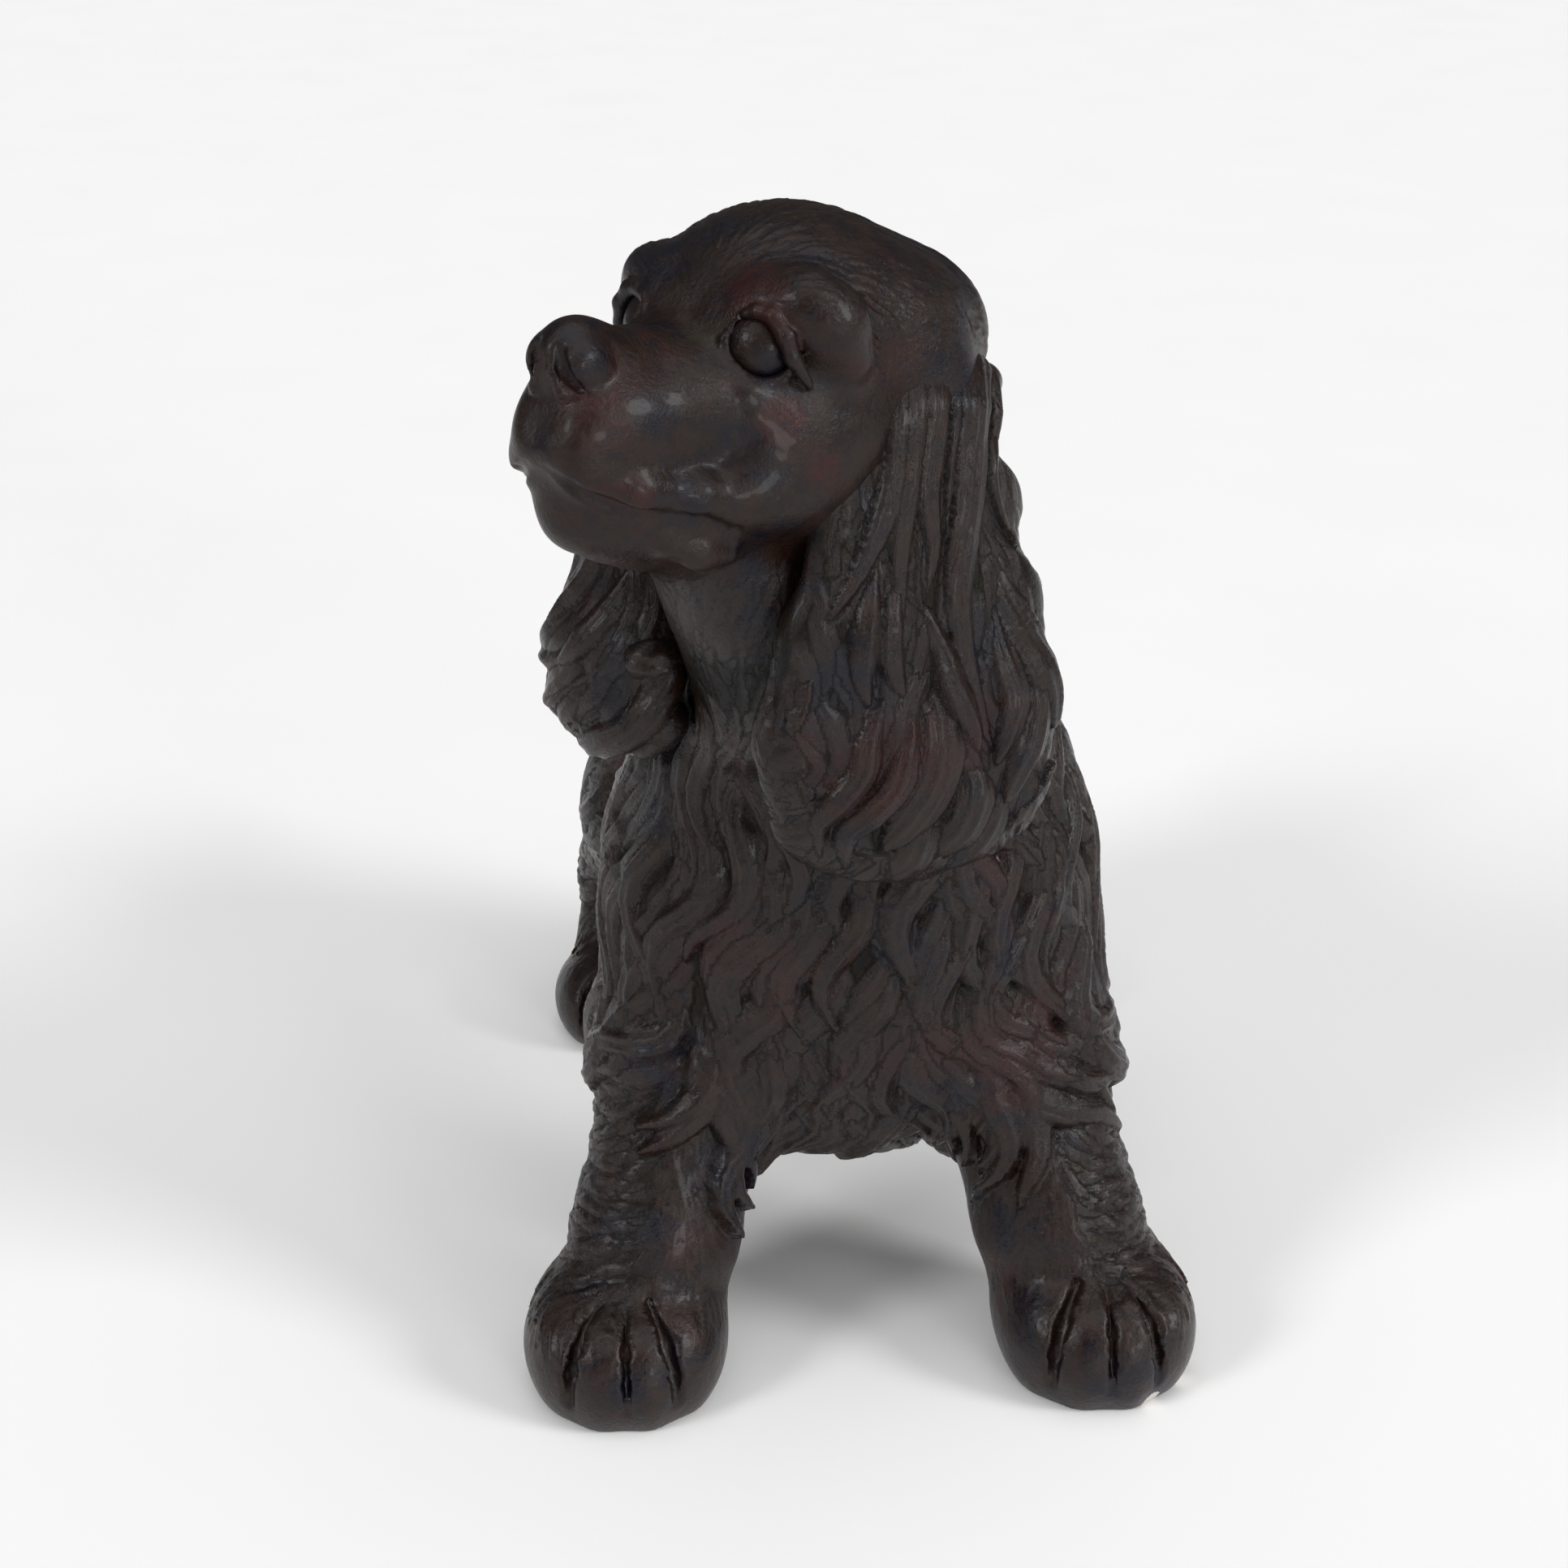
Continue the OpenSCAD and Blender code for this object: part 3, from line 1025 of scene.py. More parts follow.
@dataclass
class Head:
    """Skull, brows, muzzle, nose, lips and lids, on axes forward, left and up.

    Attributes:
        eye: the place of an eyeball.
        eye_radius: its radius.
        bulge: how far it stands out from that place.
    """

    eye: tuple[float, float, float] = (46, 24, 9)
    eye_radius: float = 9.6
    bulge: float = 4.5

    def model(self, clay: Clay, stance: Stance) -> None:
        """Adds the head to the clay."""
        tool = Tool(clay, stance.head)
        egg, path = tool.egg, tool.path
        egg((-2, 0, 2), (56, 44, 48), 14)
        egg((14, 0, 14), (40, 40, 34), 12)
        egg((64, 0, -16), (39, 24, 23), 12)
        path([(60, 0, -5), (95, 0, -2.5)], (15.5, 10.5), 8)
        path([(30, 0, -44), (86, 0, -43)], (23, 13.5), 8)
        egg((62, 0, -44), (29, 25, 15), 8)
        egg((40, 0, -34), (34, 40, 18), 10)
        for s in (LEFT, RIGHT):
            egg((-31, s * 12, 18), (28, 28, 24.5), 10)
            path([(-10, s * 26, 18), (-22, s * 40, -8)], (20, 15), 12)
            egg((34 + s, s * 18 + 2, 12), (20.5, 16.2 + s, 16), 10)
            egg((20, s * 28, -18), (34, 20, 26), 12)
            egg((81, s * 8.5 + 1, -23), (26.5, 12.5, 18), 11)
            egg((40, s * 22, -8), (15, 12, 12), 10)
            egg((57, s * 16, -8), (16, 13, 13), 10)
        self.nose(tool)
        self.mouth(tool)
        for s in (LEFT, RIGHT):
            self.lids(clay, stance.head, s)

    def nose(self, tool: Tool) -> None:
        """Adds the nose leather, its nostrils and the groove below it."""
        egg, path = tool.egg, tool.path
        egg((97, 0.5, 0.5), (13, 9.5, 10.5), 7)
        for s in (LEFT, RIGHT):
            egg((100.5, s * 7.5 + 1, -1.5), (7.5, 5.2, 6.8), 3)
            hole = [(109, s * 4.2 + 1, 3), (107.8, s * 5.8 + 1, -3), (103.5, s * 9.5 + 1, -8.5)]
            path(hole, (1.5, 2.4, 1.3), 0.9, Join.CUT)
            rim = [(109.5, s * 2.4 + 1, -4), (107, s * 5.5 + 1, -10), (101, s * 10 + 1, -10.5)]
            path(rim, (0.9, 1.3, 1.0), 1.4)
        path([(112, 0, 4), (111, 0, -8), (110, 0, -26)], (1.1, 1.5, 1.1), 1.6, Join.CUT)

    def mouth(self, tool: Tool) -> None:
        """Adds the hanging upper lip, the cut of the mouth and the fold at its corner."""
        path = tool.path
        for s in (LEFT, RIGHT):
            lip = [(104, s * 4, -27), (98, s * 11, -31), (84, s * 20, -35), (66, s * 26, -35)]
            path([*lip, (52, s * 29, -38)], (3.0, 3.6, 4.2, 4, 3), 7)
            cut = [(111, s * 1, -32), (103, s * 11, -36), (93, s * 18, -40), (82, s * 24, -42)]
            cut += [(66, s * 29.5, -42), (54, s * 32, -45), (46, s * 32, -50)]
            path(cut, (2.3,) * len(cut), 1.6, Join.CUT)
            fold = [(70, s * 22, -51), (60, s * 25, -53), (50, s * 27, -53)]
            path(fold, (1.0, 1.5, 1.2), 9)
            for front, back, radii in (
                ((55, s * 30, -4), (46, s * 35, -8), (1.5, 0.9)),
                ((53, s * 32, -11), (43, s * 38, -16), (1.6, 1.0)),
                ((49, s * 34, -19), (41, s * 38, -24), (1.5, 0.9)),
            ):
                path([front, back], radii, 6)

    def eye_place(self, head: Place, s: int) -> Place:
        """The eye's own axes: outwards, back along the face and up, about its middle."""
        out = unit(np.array([[0.75, 0.66 * s, 0.06]]))[0]
        back = np.array([-0.65, 0.74 * s, 0.15])
        back = unit((back - out * (back @ out))[None])[0]
        up = np.cross(out, back) * s
        f, l, u = self.eye
        axes = head.axes @ np.stack([out, back, up], 1)
        return Place(head.at(f - 1 + s, s * (l - 3) + 3, u) + axes[:, 0] * self.bulge, axes)

    def lids(self, clay: Clay, head: Place, s: int) -> None:
        """Adds the socket, the brow, the heavy upper lid and the thin lower lid of an eye."""
        tool = Tool(clay, self.eye_place(head, s))
        path = tool.path
        brow = [(-2, 3, 14.5), (1.5, 13.5, 12.5), (0, 21.5, 6), (-4, 27, -4)]
        path(brow, (3.4, 4.6 + s, 4.4 + s, 3.0), 13)
        tool.egg((0, 0, 0), (9.0, 9.1, 9.7), 0.8, Join.CUT)
        upper = [(3.4, -6.4, 8.8), (5.4, -1.0, 10), (7.6, 3.6, 8.4), (8.6, 7.2, 2.8), (7.4, 9.2, -3.4)]
        path([*upper, (2.8, 14.5, -11.5)], (0.9, 1.9, 2.5, 2.8, 2.4, 1.2), 1.2)
        lower = [(3.2, -8.2, 7), (2.6, -10.6, 2.2), (2.8, -10.4, -3.4), (3.6, -6.4, -9.3), (4.2, 0.4, -11)]
        path([*lower, (4.2, 6.4, -9.3), (4.2, 10, -5)], (0.7, 1.1, 1.2, 1.2, 1.2, 1.1, 0.8), 1.6)


# ---------------------------------------------------------------- finishes


@dataclass
class Brush:
    """Builds the nodes of one material."""

    name: str
    material: bpy.types.Material = field(init=False)

    def __post_init__(self) -> None:
        """Makes the material with its shader."""
        self.material = bpy.data.materials.new(self.name)
        self.material.use_nodes = True
        self.tree = self.material.node_tree
        self.shader = self.tree.nodes["Principled BSDF"]
        self.place = self.tree.nodes.new("ShaderNodeTexCoord").outputs["Object"]

    def set(self, **values: float | tuple[float, ...]) -> None:
        """Sets the shader's own sockets, with an underscore for each space in a name."""
        for name, value in values.items():
            self.shader.inputs[name.replace("_", " ")].default_value = value

    def feed(self, node: bpy.types.Node, name: str | int, value: object) -> None:
        """Links a socket to an input, or sets the input to a plain value."""
        if isinstance(value, bpy.types.NodeSocket):
            self.tree.links.new(value, node.inputs[name])
        elif value is not None:
            node.inputs[name].default_value = value

    def mark(self, name: str, wide: bool = False) -> bpy.types.NodeSocket:
        """A named value stored on the mesh."""
        node = self.tree.nodes.new("ShaderNodeAttribute")
        node.attribute_name = name
        return node.outputs["Vector" if wide else "Fac"]

    def noise(
        self,
        scale: float,
        detail: float = 4,
        rough: float = 0.55,
        twist: float = 0,
        where: object = None,
    ) -> bpy.types.NodeSocket:
        """Cloudy noise, from 0 to 1."""
        node = self.tree.nodes.new("ShaderNodeTexNoise")
        self.feed(node, "Vector", where or self.place)
        self.feed(node, "Scale", scale)
        self.feed(node, "Detail", detail)
        self.feed(node, "Roughness", rough)
        self.feed(node, "Distortion", twist)
        return node.outputs["Fac"]

    def shift(
        self, offset: Spot, scale: Spot = (1, 1, 1), where: object = None
    ) -> bpy.types.NodeSocket:
        """The coordinates moved and stretched by a Mapping node."""
        node = self.tree.nodes.new("ShaderNodeMapping")
        self.feed(node, "Vector", where or self.place)
        node.inputs["Location"].default_value = offset
        node.inputs["Scale"].default_value = scale
        return node.outputs["Vector"]

    def near(self, middle: Sequence[float], radius: float) -> bpy.types.NodeSocket:
        """1 at a place, in millimetres, falling to 0 at the radius from it."""
        node = self.tree.nodes.new("ShaderNodeVectorMath")
        node.operation = "DISTANCE"
        self.feed(node, 0, self.place)
        node.inputs[1].default_value = [value * MM for value in middle]
        return self.span(node.outputs["Value"], radius * MM, 0)

    def pores(self, scale: float, low: float, high: float) -> bpy.types.NodeSocket:
        """Small round spots: 1 at the middle of a cell and 0 past the distance high."""
        node = self.tree.nodes.new("ShaderNodeTexVoronoi")
        self.feed(node, "Vector", self.place)
        self.feed(node, "Scale", scale)
        return self.span(node.outputs["Distance"], low, high, 1, 0)

    def span(
        self, value: object, low: float, high: float, start: float = 0, end: float = 1
    ) -> bpy.types.NodeSocket:
        """A smooth rise from start to end as the value goes from low to high."""
        node = self.tree.nodes.new("ShaderNodeMapRange")
        node.interpolation_type = "SMOOTHSTEP"
        for name, number in zip(
            ("Value", "From Min", "From Max", "To Min", "To Max"), (value, low, high, start, end)
        ):
            self.feed(node, name, number)
        return node.outputs["Result"]

    def sum(self, kind: str, first: object, last: object) -> bpy.types.NodeSocket:
        """One step of arithmetic, such as ADD or MULTIPLY."""
        node = self.tree.nodes.new("ShaderNodeMath")
        node.operation = kind
        self.feed(node, 0, first)
        self.feed(node, 1, last)
        return node.outputs[0]

    def blend(self, share: object, first: object, last: object) -> bpy.types.NodeSocket:
        """Goes from the first colour to the last as the share goes from 0 to 1."""
        node = self.tree.nodes.new("ShaderNodeMix")
        node.data_type = "RGBA"
        self.feed(node, 0, share)
        self.feed(node, 6, first)
        self.feed(node, 7, last)
        return node.outputs[2]

    def bump(self, height: object, depth: float, under: object = None) -> bpy.types.NodeSocket:
        """Bump of so many metres, over the bump under it."""
        node = self.tree.nodes.new("ShaderNodeBump")
        node.inputs["Strength"].default_value = 1.0
        node.inputs["Distance"].default_value = depth
        self.feed(node, "Height", height)
        self.feed(node, "Normal", under)
        return node.outputs["Normal"]

    def done(
        self, colour: object, rough: object, normal: object = None
    ) -> bpy.types.Material:
        """Links colour, roughness and bump to the shader."""
        self.feed(self.shader, "Base Color", colour)
        self.feed(self.shader, "Roughness", rough)
        self.feed(self.shader, "Normal", normal)
        return self.material


@dataclass(frozen=True)
class Glaze:
    """A dark satin glaze, brown with blue-black and oxblood patches, olive in the hollows, and painted
    shade, near black, in the grooves between locks.

    Attributes:
        name: the material's name.
        brown: the colour most of it has.
        ink: the blue-black patches.
        oxblood: the red patches.
        olive: the colour of the hollows.
        strands: how strong the comb marks are.
        gloss: the lowest roughness.
        shine: the specular level of the ridges.
        patches: clouds at places of their own, each a middle, a radius and a colour's name.
        chips: where the glaze is chipped, each a middle and a radius.
        bisque: the pale clay under it.
    """

    name: str
    brown: tuple[float, ...] = (0.0122, 0.0056, 0.0032, 1)
    ink: tuple[float, ...] = (0.0032, 0.0030, 0.0078, 1)
    oxblood: tuple[float, ...] = (0.0300, 0.0042, 0.0032, 1)
    olive: tuple[float, ...] = (0.0130, 0.0105, 0.0022, 1)
    strands: float = 0.3
    gloss: float = 0.20
    shine: float = 0.30
    patches: tuple[tuple[Sequence[float], float, str], ...] = ()
    chips: tuple[tuple[Sequence[float], float], ...] = ()
    bisque: tuple[float, ...] = (0.62, 0.58, 0.53, 1)

    def make(self) -> bpy.types.Material:
        """Builds the material."""
        brush = Brush(self.name)
        brush.set(Specular_IOR_Level=0.27, Coat_Weight=0.05, Coat_Roughness=0.1)
        comb = brush.mark("comb", True)
        rise, fur = brush.mark("rise"), brush.mark("fur")
        ink_cloud = brush.noise(34, 5, 0.62, 0.4)
        red_cloud = brush.noise(23, 4, 0.6, 0.3, brush.shift((5.1, 3.7, 1.2)))
        pale_cloud = brush.noise(95, 6, 0.7, 0.6, brush.shift((7.3, 2.9, 0.4)))
        green_cloud = brush.noise(40, 4, 0.6, 0, brush.shift((1.3, 8.8, 4.1)))
        streak = brush.noise(1.0, 3, 0.6, 0, brush.shift((0, 0, 0), (1.5, 0.10, 37.0), comb))
        fine = brush.noise(1.0, 2, 0.5, 0, brush.shift((5, 0, 0), (4.5, 0.22, 61.0), comb))
        colour = brush.blend(brush.span(ink_cloud, 0.47, 0.64), self.brown, self.ink)
        colour = brush.blend(brush.span(red_cloud, 0.53, 0.70, 0, 0.85), colour, self.oxblood)
        for middle, radius, tint in self.patches:
            near = brush.sum("ADD", brush.near(middle, radius), brush.sum("MULTIPLY", pale_cloud, 0.9))
            colour = brush.blend(brush.span(near, 0.8, 1.25, 0, 0.9), colour, getattr(self, tint))
        hollow = brush.sum("MULTIPLY", brush.span(rise, 0.75, 0.4), brush.span(green_cloud, 0.3, 0.6))
        colour = brush.blend(brush.sum("MULTIPLY", hollow, 0.85), colour, self.olive)
        fleck = brush.noise(230, 6, 0.78, 0.3, brush.shift((2.2, 6.1, 9.4)))
        colour = brush.blend(brush.span(fleck, 0.5, 0.6, 0, 0.6), colour, self.ink)
        worn = tuple(1.8 * value for value in self.brown[:3]) + (1,)
        ridge = brush.sum("MULTIPLY", brush.span(rise, 0.7, 1.1), brush.span(pale_cloud, 0.42, 0.6))
        colour = brush.blend(brush.sum("MULTIPLY", ridge, 0.6), colour, worn)
        dark = brush.sum("MULTIPLY", brush.span(streak, 0.52, 0.36), brush.sum("MULTIPLY", fur, 0.45))
        colour = brush.blend(dark, colour, (0.0055, 0.0050, 0.0065, 1))
        # Painted shade: the colour goes near black where the relief is low, in the grooves between locks.
        painted_crease_shade = brush.span(rise, 0.66, 0.36, 0, 0.6)
        brush.feed(brush.shader, "Specular IOR Level", brush.span(rise, 0.4, 0.65, 0.08, self.shine))
        colour = brush.blend(painted_crease_shade, colour, (0.0028, 0.0024, 0.0022, 1))
        for middle, radius in self.chips:
            near = brush.sum("ADD", brush.near(middle, radius), brush.noise(260, 3, 0.6))
            colour = brush.blend(brush.span(near, 0.98, 1.04), colour, self.bisque)
        speck = brush.pores(620, 0.05, 0.12)
        rough = brush.span(pale_cloud, 0.3, 0.7, self.gloss, self.gloss + 0.16)
        rough = brush.sum("ADD", rough, brush.span(rise, 0.4, 0, 0, 0.12))
        normal = brush.bump(brush.sum("MULTIPLY", streak, fur), 0.0011 * self.strands)
        normal = brush.bump(brush.sum("MULTIPLY", fine, fur), 0.00035 * self.strands, normal)
        normal = brush.bump(brush.noise(700, 4, 0.65), 0.0003, normal)
        normal = brush.bump(brush.noise(60, 3, 0.5), 0.0012, normal)
        normal = brush.bump(brush.sum("MULTIPLY", speck, -1), 0.0002, normal)
        return brush.done(colour, rough, normal)


@dataclass(frozen=True)
class Felt:
    """Dark felt with a short, tangled nap."""

    name: str = "felt_pad"

    def make(self) -> bpy.types.Material:
        """Builds the material."""
        brush = Brush(self.name)
        brush.set(Specular_IOR_Level=0.2, Sheen_Weight=0.4)
        nap = brush.noise(900, 5, 0.7, 1.5)
        colour = brush.blend(nap, (0.008, 0.008, 0.008, 1), (0.03, 0.029, 0.028, 1))
        rough = brush.span(nap, 0.3, 0.7, 0.85, 1.0)
        return brush.done(colour, rough, brush.bump(nap, 0.0006))


@dataclass(frozen=True)
class Slip:
    """Fired slip, the matt clay that joins the castings."""

    name: str = "fired_slip"

    def make(self) -> bpy.types.Material:
        """Builds the material."""
        brush = Brush(self.name)
        grit = brush.noise(500, 5, 0.7)
        colour = brush.blend(grit, (0.10, 0.055, 0.035, 1), (0.18, 0.11, 0.075, 1))
        rough = brush.span(grit, 0.3, 0.7, 0.75, 0.95)
        return brush.done(colour, rough, brush.bump(grit, 0.0003))


@dataclass(frozen=True)
class Paper:
    """The pale floor."""

    name: str = "studio_floor"

    def make(self) -> bpy.types.Material:
        """Builds the material."""
        brush = Brush(self.name)
        brush.set(Emission_Color=(1, 1, 1, 1), Emission_Strength=0.06)
        cloud = brush.noise(6, 2, 0.5)
        colour = brush.blend(cloud, (0.93, 0.93, 0.93, 1), (0.95, 0.95, 0.95, 1))
        return brush.done(colour, brush.span(cloud, 0, 1, 0.7, 0.8))


# ---------------------------------------------------------------- how the coat lies


@dataclass
class BodyCoat:
    """The hair of the body: where it grows, which way, and how long and thick it is.

    Attributes:
        stance: where the parts stand; not used.
        half: half width of a lock on paw, shin, leg, neck, chest, back and flank.
        stand: how far a lock stands up.
        long: the length of a lock.
        wave: how far it swings, in radians.
    """

    stance: Stance
    half: tuple[float, ...] = (1.4, 2.0, 2.8, 2.4, 7.0, 3.8, 7.0)
    stand: tuple[float, ...] = (0.08, 0.45, 1.9, 0.45, 5.6, 1.6, 4.8)
    long: tuple[float, ...] = (12, 18, 18, 24, 88, 38, 80)
    wave: tuple[float, ...] = (0.2, 0.3, 0.25, 0.3, 0.62, 0.3, 0.66)

    def shares(self, points: Array) -> Array:
        """How much each region counts at each point; the shares of a point add up to 1."""
        x, y, z = np.abs(points[:, 0]), points[:, 1], points[:, 2]
        paw = 1 - ramp(z, 30, 48)
        low = (1 - ramp(z, 112, 150)) * ramp(x, 14, 30)
        outer = ramp(x + 0.28 * z, 88, 104)
        neck = ramp(z, 262, 288) * (1 - ramp(y, -72, -40))
        chest = 1 - ramp(y, -92, -52)
        back = ramp(z, 196, 226)
        left = np.ones(len(points))
        rows = []
        for share in (paw, low * (1 - outer), low, neck, chest, back):
            rows.append(left * share)
            left = left * (1 - share)
        return np.stack([*rows, left], 1)

    def way(self, points: Array) -> Array:
        """The direction of growth: the regions' own directions, mixed by their shares."""
        side = np.clip(points[:, 0] / 30, -1, 1)
        behind = ramp(points[:, 1], -20, 40)
        flat = np.zeros(len(points))
        one = flat + 1
        rows = [
            np.stack([side * 0.3, -0.6 * one, -0.7 * one], 1),
            np.stack([side * 0.2, 0.15 * one, -one], 1),
            np.stack([side * (0.55 - 0.5 * behind), 0.75 + 0.2 * behind, -0.45 * one], 1),
            np.stack([flat, 0.25 * one, -one], 1),
            np.stack([0.22 * side, flat - 0.1, -one], 1),
            np.stack([0.15 * side, one, -0.25 * one], 1),
            np.stack([flat, 0.5 * one, -0.85 * one], 1),
        ]
        return np.einsum("ij,jik->ik", self.shares(points), np.stack(rows))

    def mix(self, table: Sequence[float], points: Array) -> Array:
        """A table's value at each point."""
        return self.shares(points) @ np.array(table)

    def spacing(self, points: Array) -> Array:
        """How far apart roots lie, so that each point has about three locks over it."""
        return np.sqrt(0.5 * self.mix(self.half, points) * self.mix(self.long, points))

    def flow(self) -> Flow:
        """The flow of the body's hair."""
        return Flow(
            self.way,
            lambda points: self.mix(self.wave, points),
            70.0,
            lambda points: self.mix(self.half, points),
            lambda points: self.mix(self.stand, points),
            lambda points: self.mix(self.long, points),
            4.4,
            11,
        )


@dataclass
class HeadCoat:
    """The short hair of the head, combed back from the nose and down the cheeks."""

    stance: Stance

    def bare(self, points: Array) -> Array:
        """How smooth the clay is: 1 on the nose, the eyes and the lips, 0 on the crown."""
        local = self.stance.head.local(points)
        f, l, u = local[:, 0], np.abs(local[:, 1]), local[:, 2]
        nose = ramp(f, 84, 96)
        eye = 1 - ramp(np.sqrt((f - 46) ** 2 + (l - 25) ** 2 + (u - 8) ** 2), 13, 19)
        return np.maximum(nose, eye)

    def crown(self, points: Array) -> Array:
        """How long the hair is: 1 on top of and behind the skull, 0 on the face."""
        local = self.stance.head.local(points)
        return np.maximum(ramp(local[:, 2], 14, 40), ramp(-local[:, 0], 10, 34))

    def way(self, points: Array) -> Array:
        """The direction of growth: back over the crown, and back and down on the cheeks."""
        local = self.stance.head.local(points)
        side = np.clip(local[:, 1] / 22, -1, 1)
        top = ramp(local[:, 2], -6, 26)
        rows = np.stack([-1 + 0.25 * top, side * (0.2 + 0.5 * top), -0.75 + 0.95 * top], 1)
        return rows @ self.stance.head.axes.T

    def flow(self) -> Flow:
        """The flow of the head's hair."""
        return Flow(
            self.way,
            lambda points: 0.25 + 0.2 * self.crown(points),
            40.0,
            lambda points: 0.9 + 0.8 * self.crown(points),
            lambda points: (0.06 + 0.8 * self.crown(points)) * (1 - 0.9 * self.bare(points)),
            lambda points: 10 + 26 * self.crown(points),
            1.9,
            23,
        )

    def spacing(self, points: Array) -> Array:
        """How far apart roots lie."""
        return 2.6 + 1.3 * self.crown(points)


@dataclass
class Ear:
    """One hanging ear with long locks.

    Attributes:
        side: LEFT or RIGHT.
        line: the middle of the ear from the root down: across, along and up in the world,
            half width, half thickness, and how far its face turns outwards, in degrees.
        turn: how far the face as a whole turns outwards, in degrees.
        strokes: locks laid on its face, each a half width, a height and a line of
            across and up in the world.
        tall: how far the slab goes past the ends of its line, of its half width.
    """

    side: int
    line: Sequence[tuple[float, float, float, float, float, float]]
    turn: float
    strokes: Sequence[tuple[float, float, Sequence[tuple[float, float]]]] = ()
    tall: float = 0.6

    def facing(self) -> Array:
        """The direction that the ear's face looks in."""
        angle = np.radians(self.turn)
        return np.array([self.side * np.sin(angle), -np.cos(angle), 0.0])

    def model(self, clay: Clay) -> None:
        """Adds the slab of the ear.

        Formula: for each stretch of the line, the offset from its nearest point is divided by
        the half width across, the half thickness through and a share of the half width up,
        on axes that turn evenly from one point to the next. With k the length of that, and m
        the length of it divided by them again, the distance is k times (k less 1) over m.
        """
        for n in range(len(self.line) - 1):
            first, last = np.array(self.line[n]), np.array(self.line[n + 1])

            def distance(points: Array, first: Array = first, last: Array = last) -> Array:
                """Distance to one stretch of the slab."""
                axis = last[:3] - first[:3]
                share = np.clip((points - first[:3]) @ axis / (axis @ axis), 0, 1)
                off = points - first[:3] - share[:, None] * axis
                wide, deep, turn = (first[3:] + (last - first)[3:] * share[:, None]).T
                sine, cosine = self.side * np.sin(np.radians(turn)), np.cos(np.radians(turn))
                x = (off[:, 0] * cosine + off[:, 1] * sine) / wide
                y = (off[:, 0] * sine - off[:, 1] * cosine) / deep
                tall = self.tall * wide
                z = off[:, 2] / tall
                whole = np.sqrt(x * x + y * y + z * z)
                steep = np.sqrt((x / wide) ** 2 + (y / deep) ** 2 + (z / tall) ** 2)
                return (whole * (whole - 1) / np.maximum(steep, 1e-6)).astype(np.float32)

            reach = float(np.linalg.norm((last - first)[:3])) / 2 + max(first[3], last[3])
            clay.custom(distance, (first + last)[:3] / 2, reach, 11 if n == 0 else 6)

    def laid(self, clay: Clay) -> Locks:
        """The listed locks.

        Formula: each line is smoothed by a Catmull-Rom curve through its points, starts far in
        front of the ear and moves backwards on to its face by the distance that is left.
        """
        count = 26
        lines = []
        for _, _, stroke in self.strokes:
            points = np.array(stroke, float)
            padded = np.concatenate(
                [points[:1] * 2 - points[1:2], points, points[-1:] * 2 - points[-2:-1]]
            )
            spot = np.linspace(0, len(points) - 1 - 1e-6, count)
            index = spot.astype(int)
            t = (spot - index)[:, None]
            p0, p1, p2, p3 = (padded[index + k] for k in range(4))
            curve = 0.5 * (
                2 * p1
                + (p2 - p0) * t
                + (2 * p0 - 5 * p1 + 4 * p2 - p3) * t**2
                + (3 * p1 - p0 - 3 * p2 + p3) * t**3
            )
            lines.append(np.stack([curve[:, 0], np.full(count, -225.0), curve[:, 1]], 1))
        flat = np.concatenate(lines).astype(np.float32)
        for _ in range(40):
            flat[:, 1] += np.clip(clay.distance(flat) * 0.85, -4, 14)
        normal = unit(clay.slope(flat))
        shape = (len(lines), count, 3)
        return Locks(
            flat.reshape(shape),
            normal.reshape(shape),
            np.array([stroke[0] for stroke in self.strokes], float),
            np.array([stroke[1] for stroke in self.strokes], float),
            np.full(len(lines), 4.4),
            np.array([0.34 if stroke[2][0][1] > 330 else 0.42 for stroke in self.strokes]),
            np.full(len(lines), 0.34),
        )

    def flow(self) -> Flow:
        """The flow of the hair on its edges and back."""
        return Flow(
            lambda points: np.tile([[0.0, 0.1, -1.0]], (len(points), 1)),
            lambda points: 0.25 + 0.45 * ramp(-points[:, 2], -330, -270),
            48.0,
            lambda points: 3.6 + 2.4 * ramp(-points[:, 2], -340, -270),
            lambda points: 1.6 + 1.8 * ramp(-points[:, 2], -350, -290),
            lambda points: 38 + 16 * ramp(-points[:, 2], -340, -280),
            4.2,
            31 + self.side,
        )


# ---------------------------------------------------------------- the figure


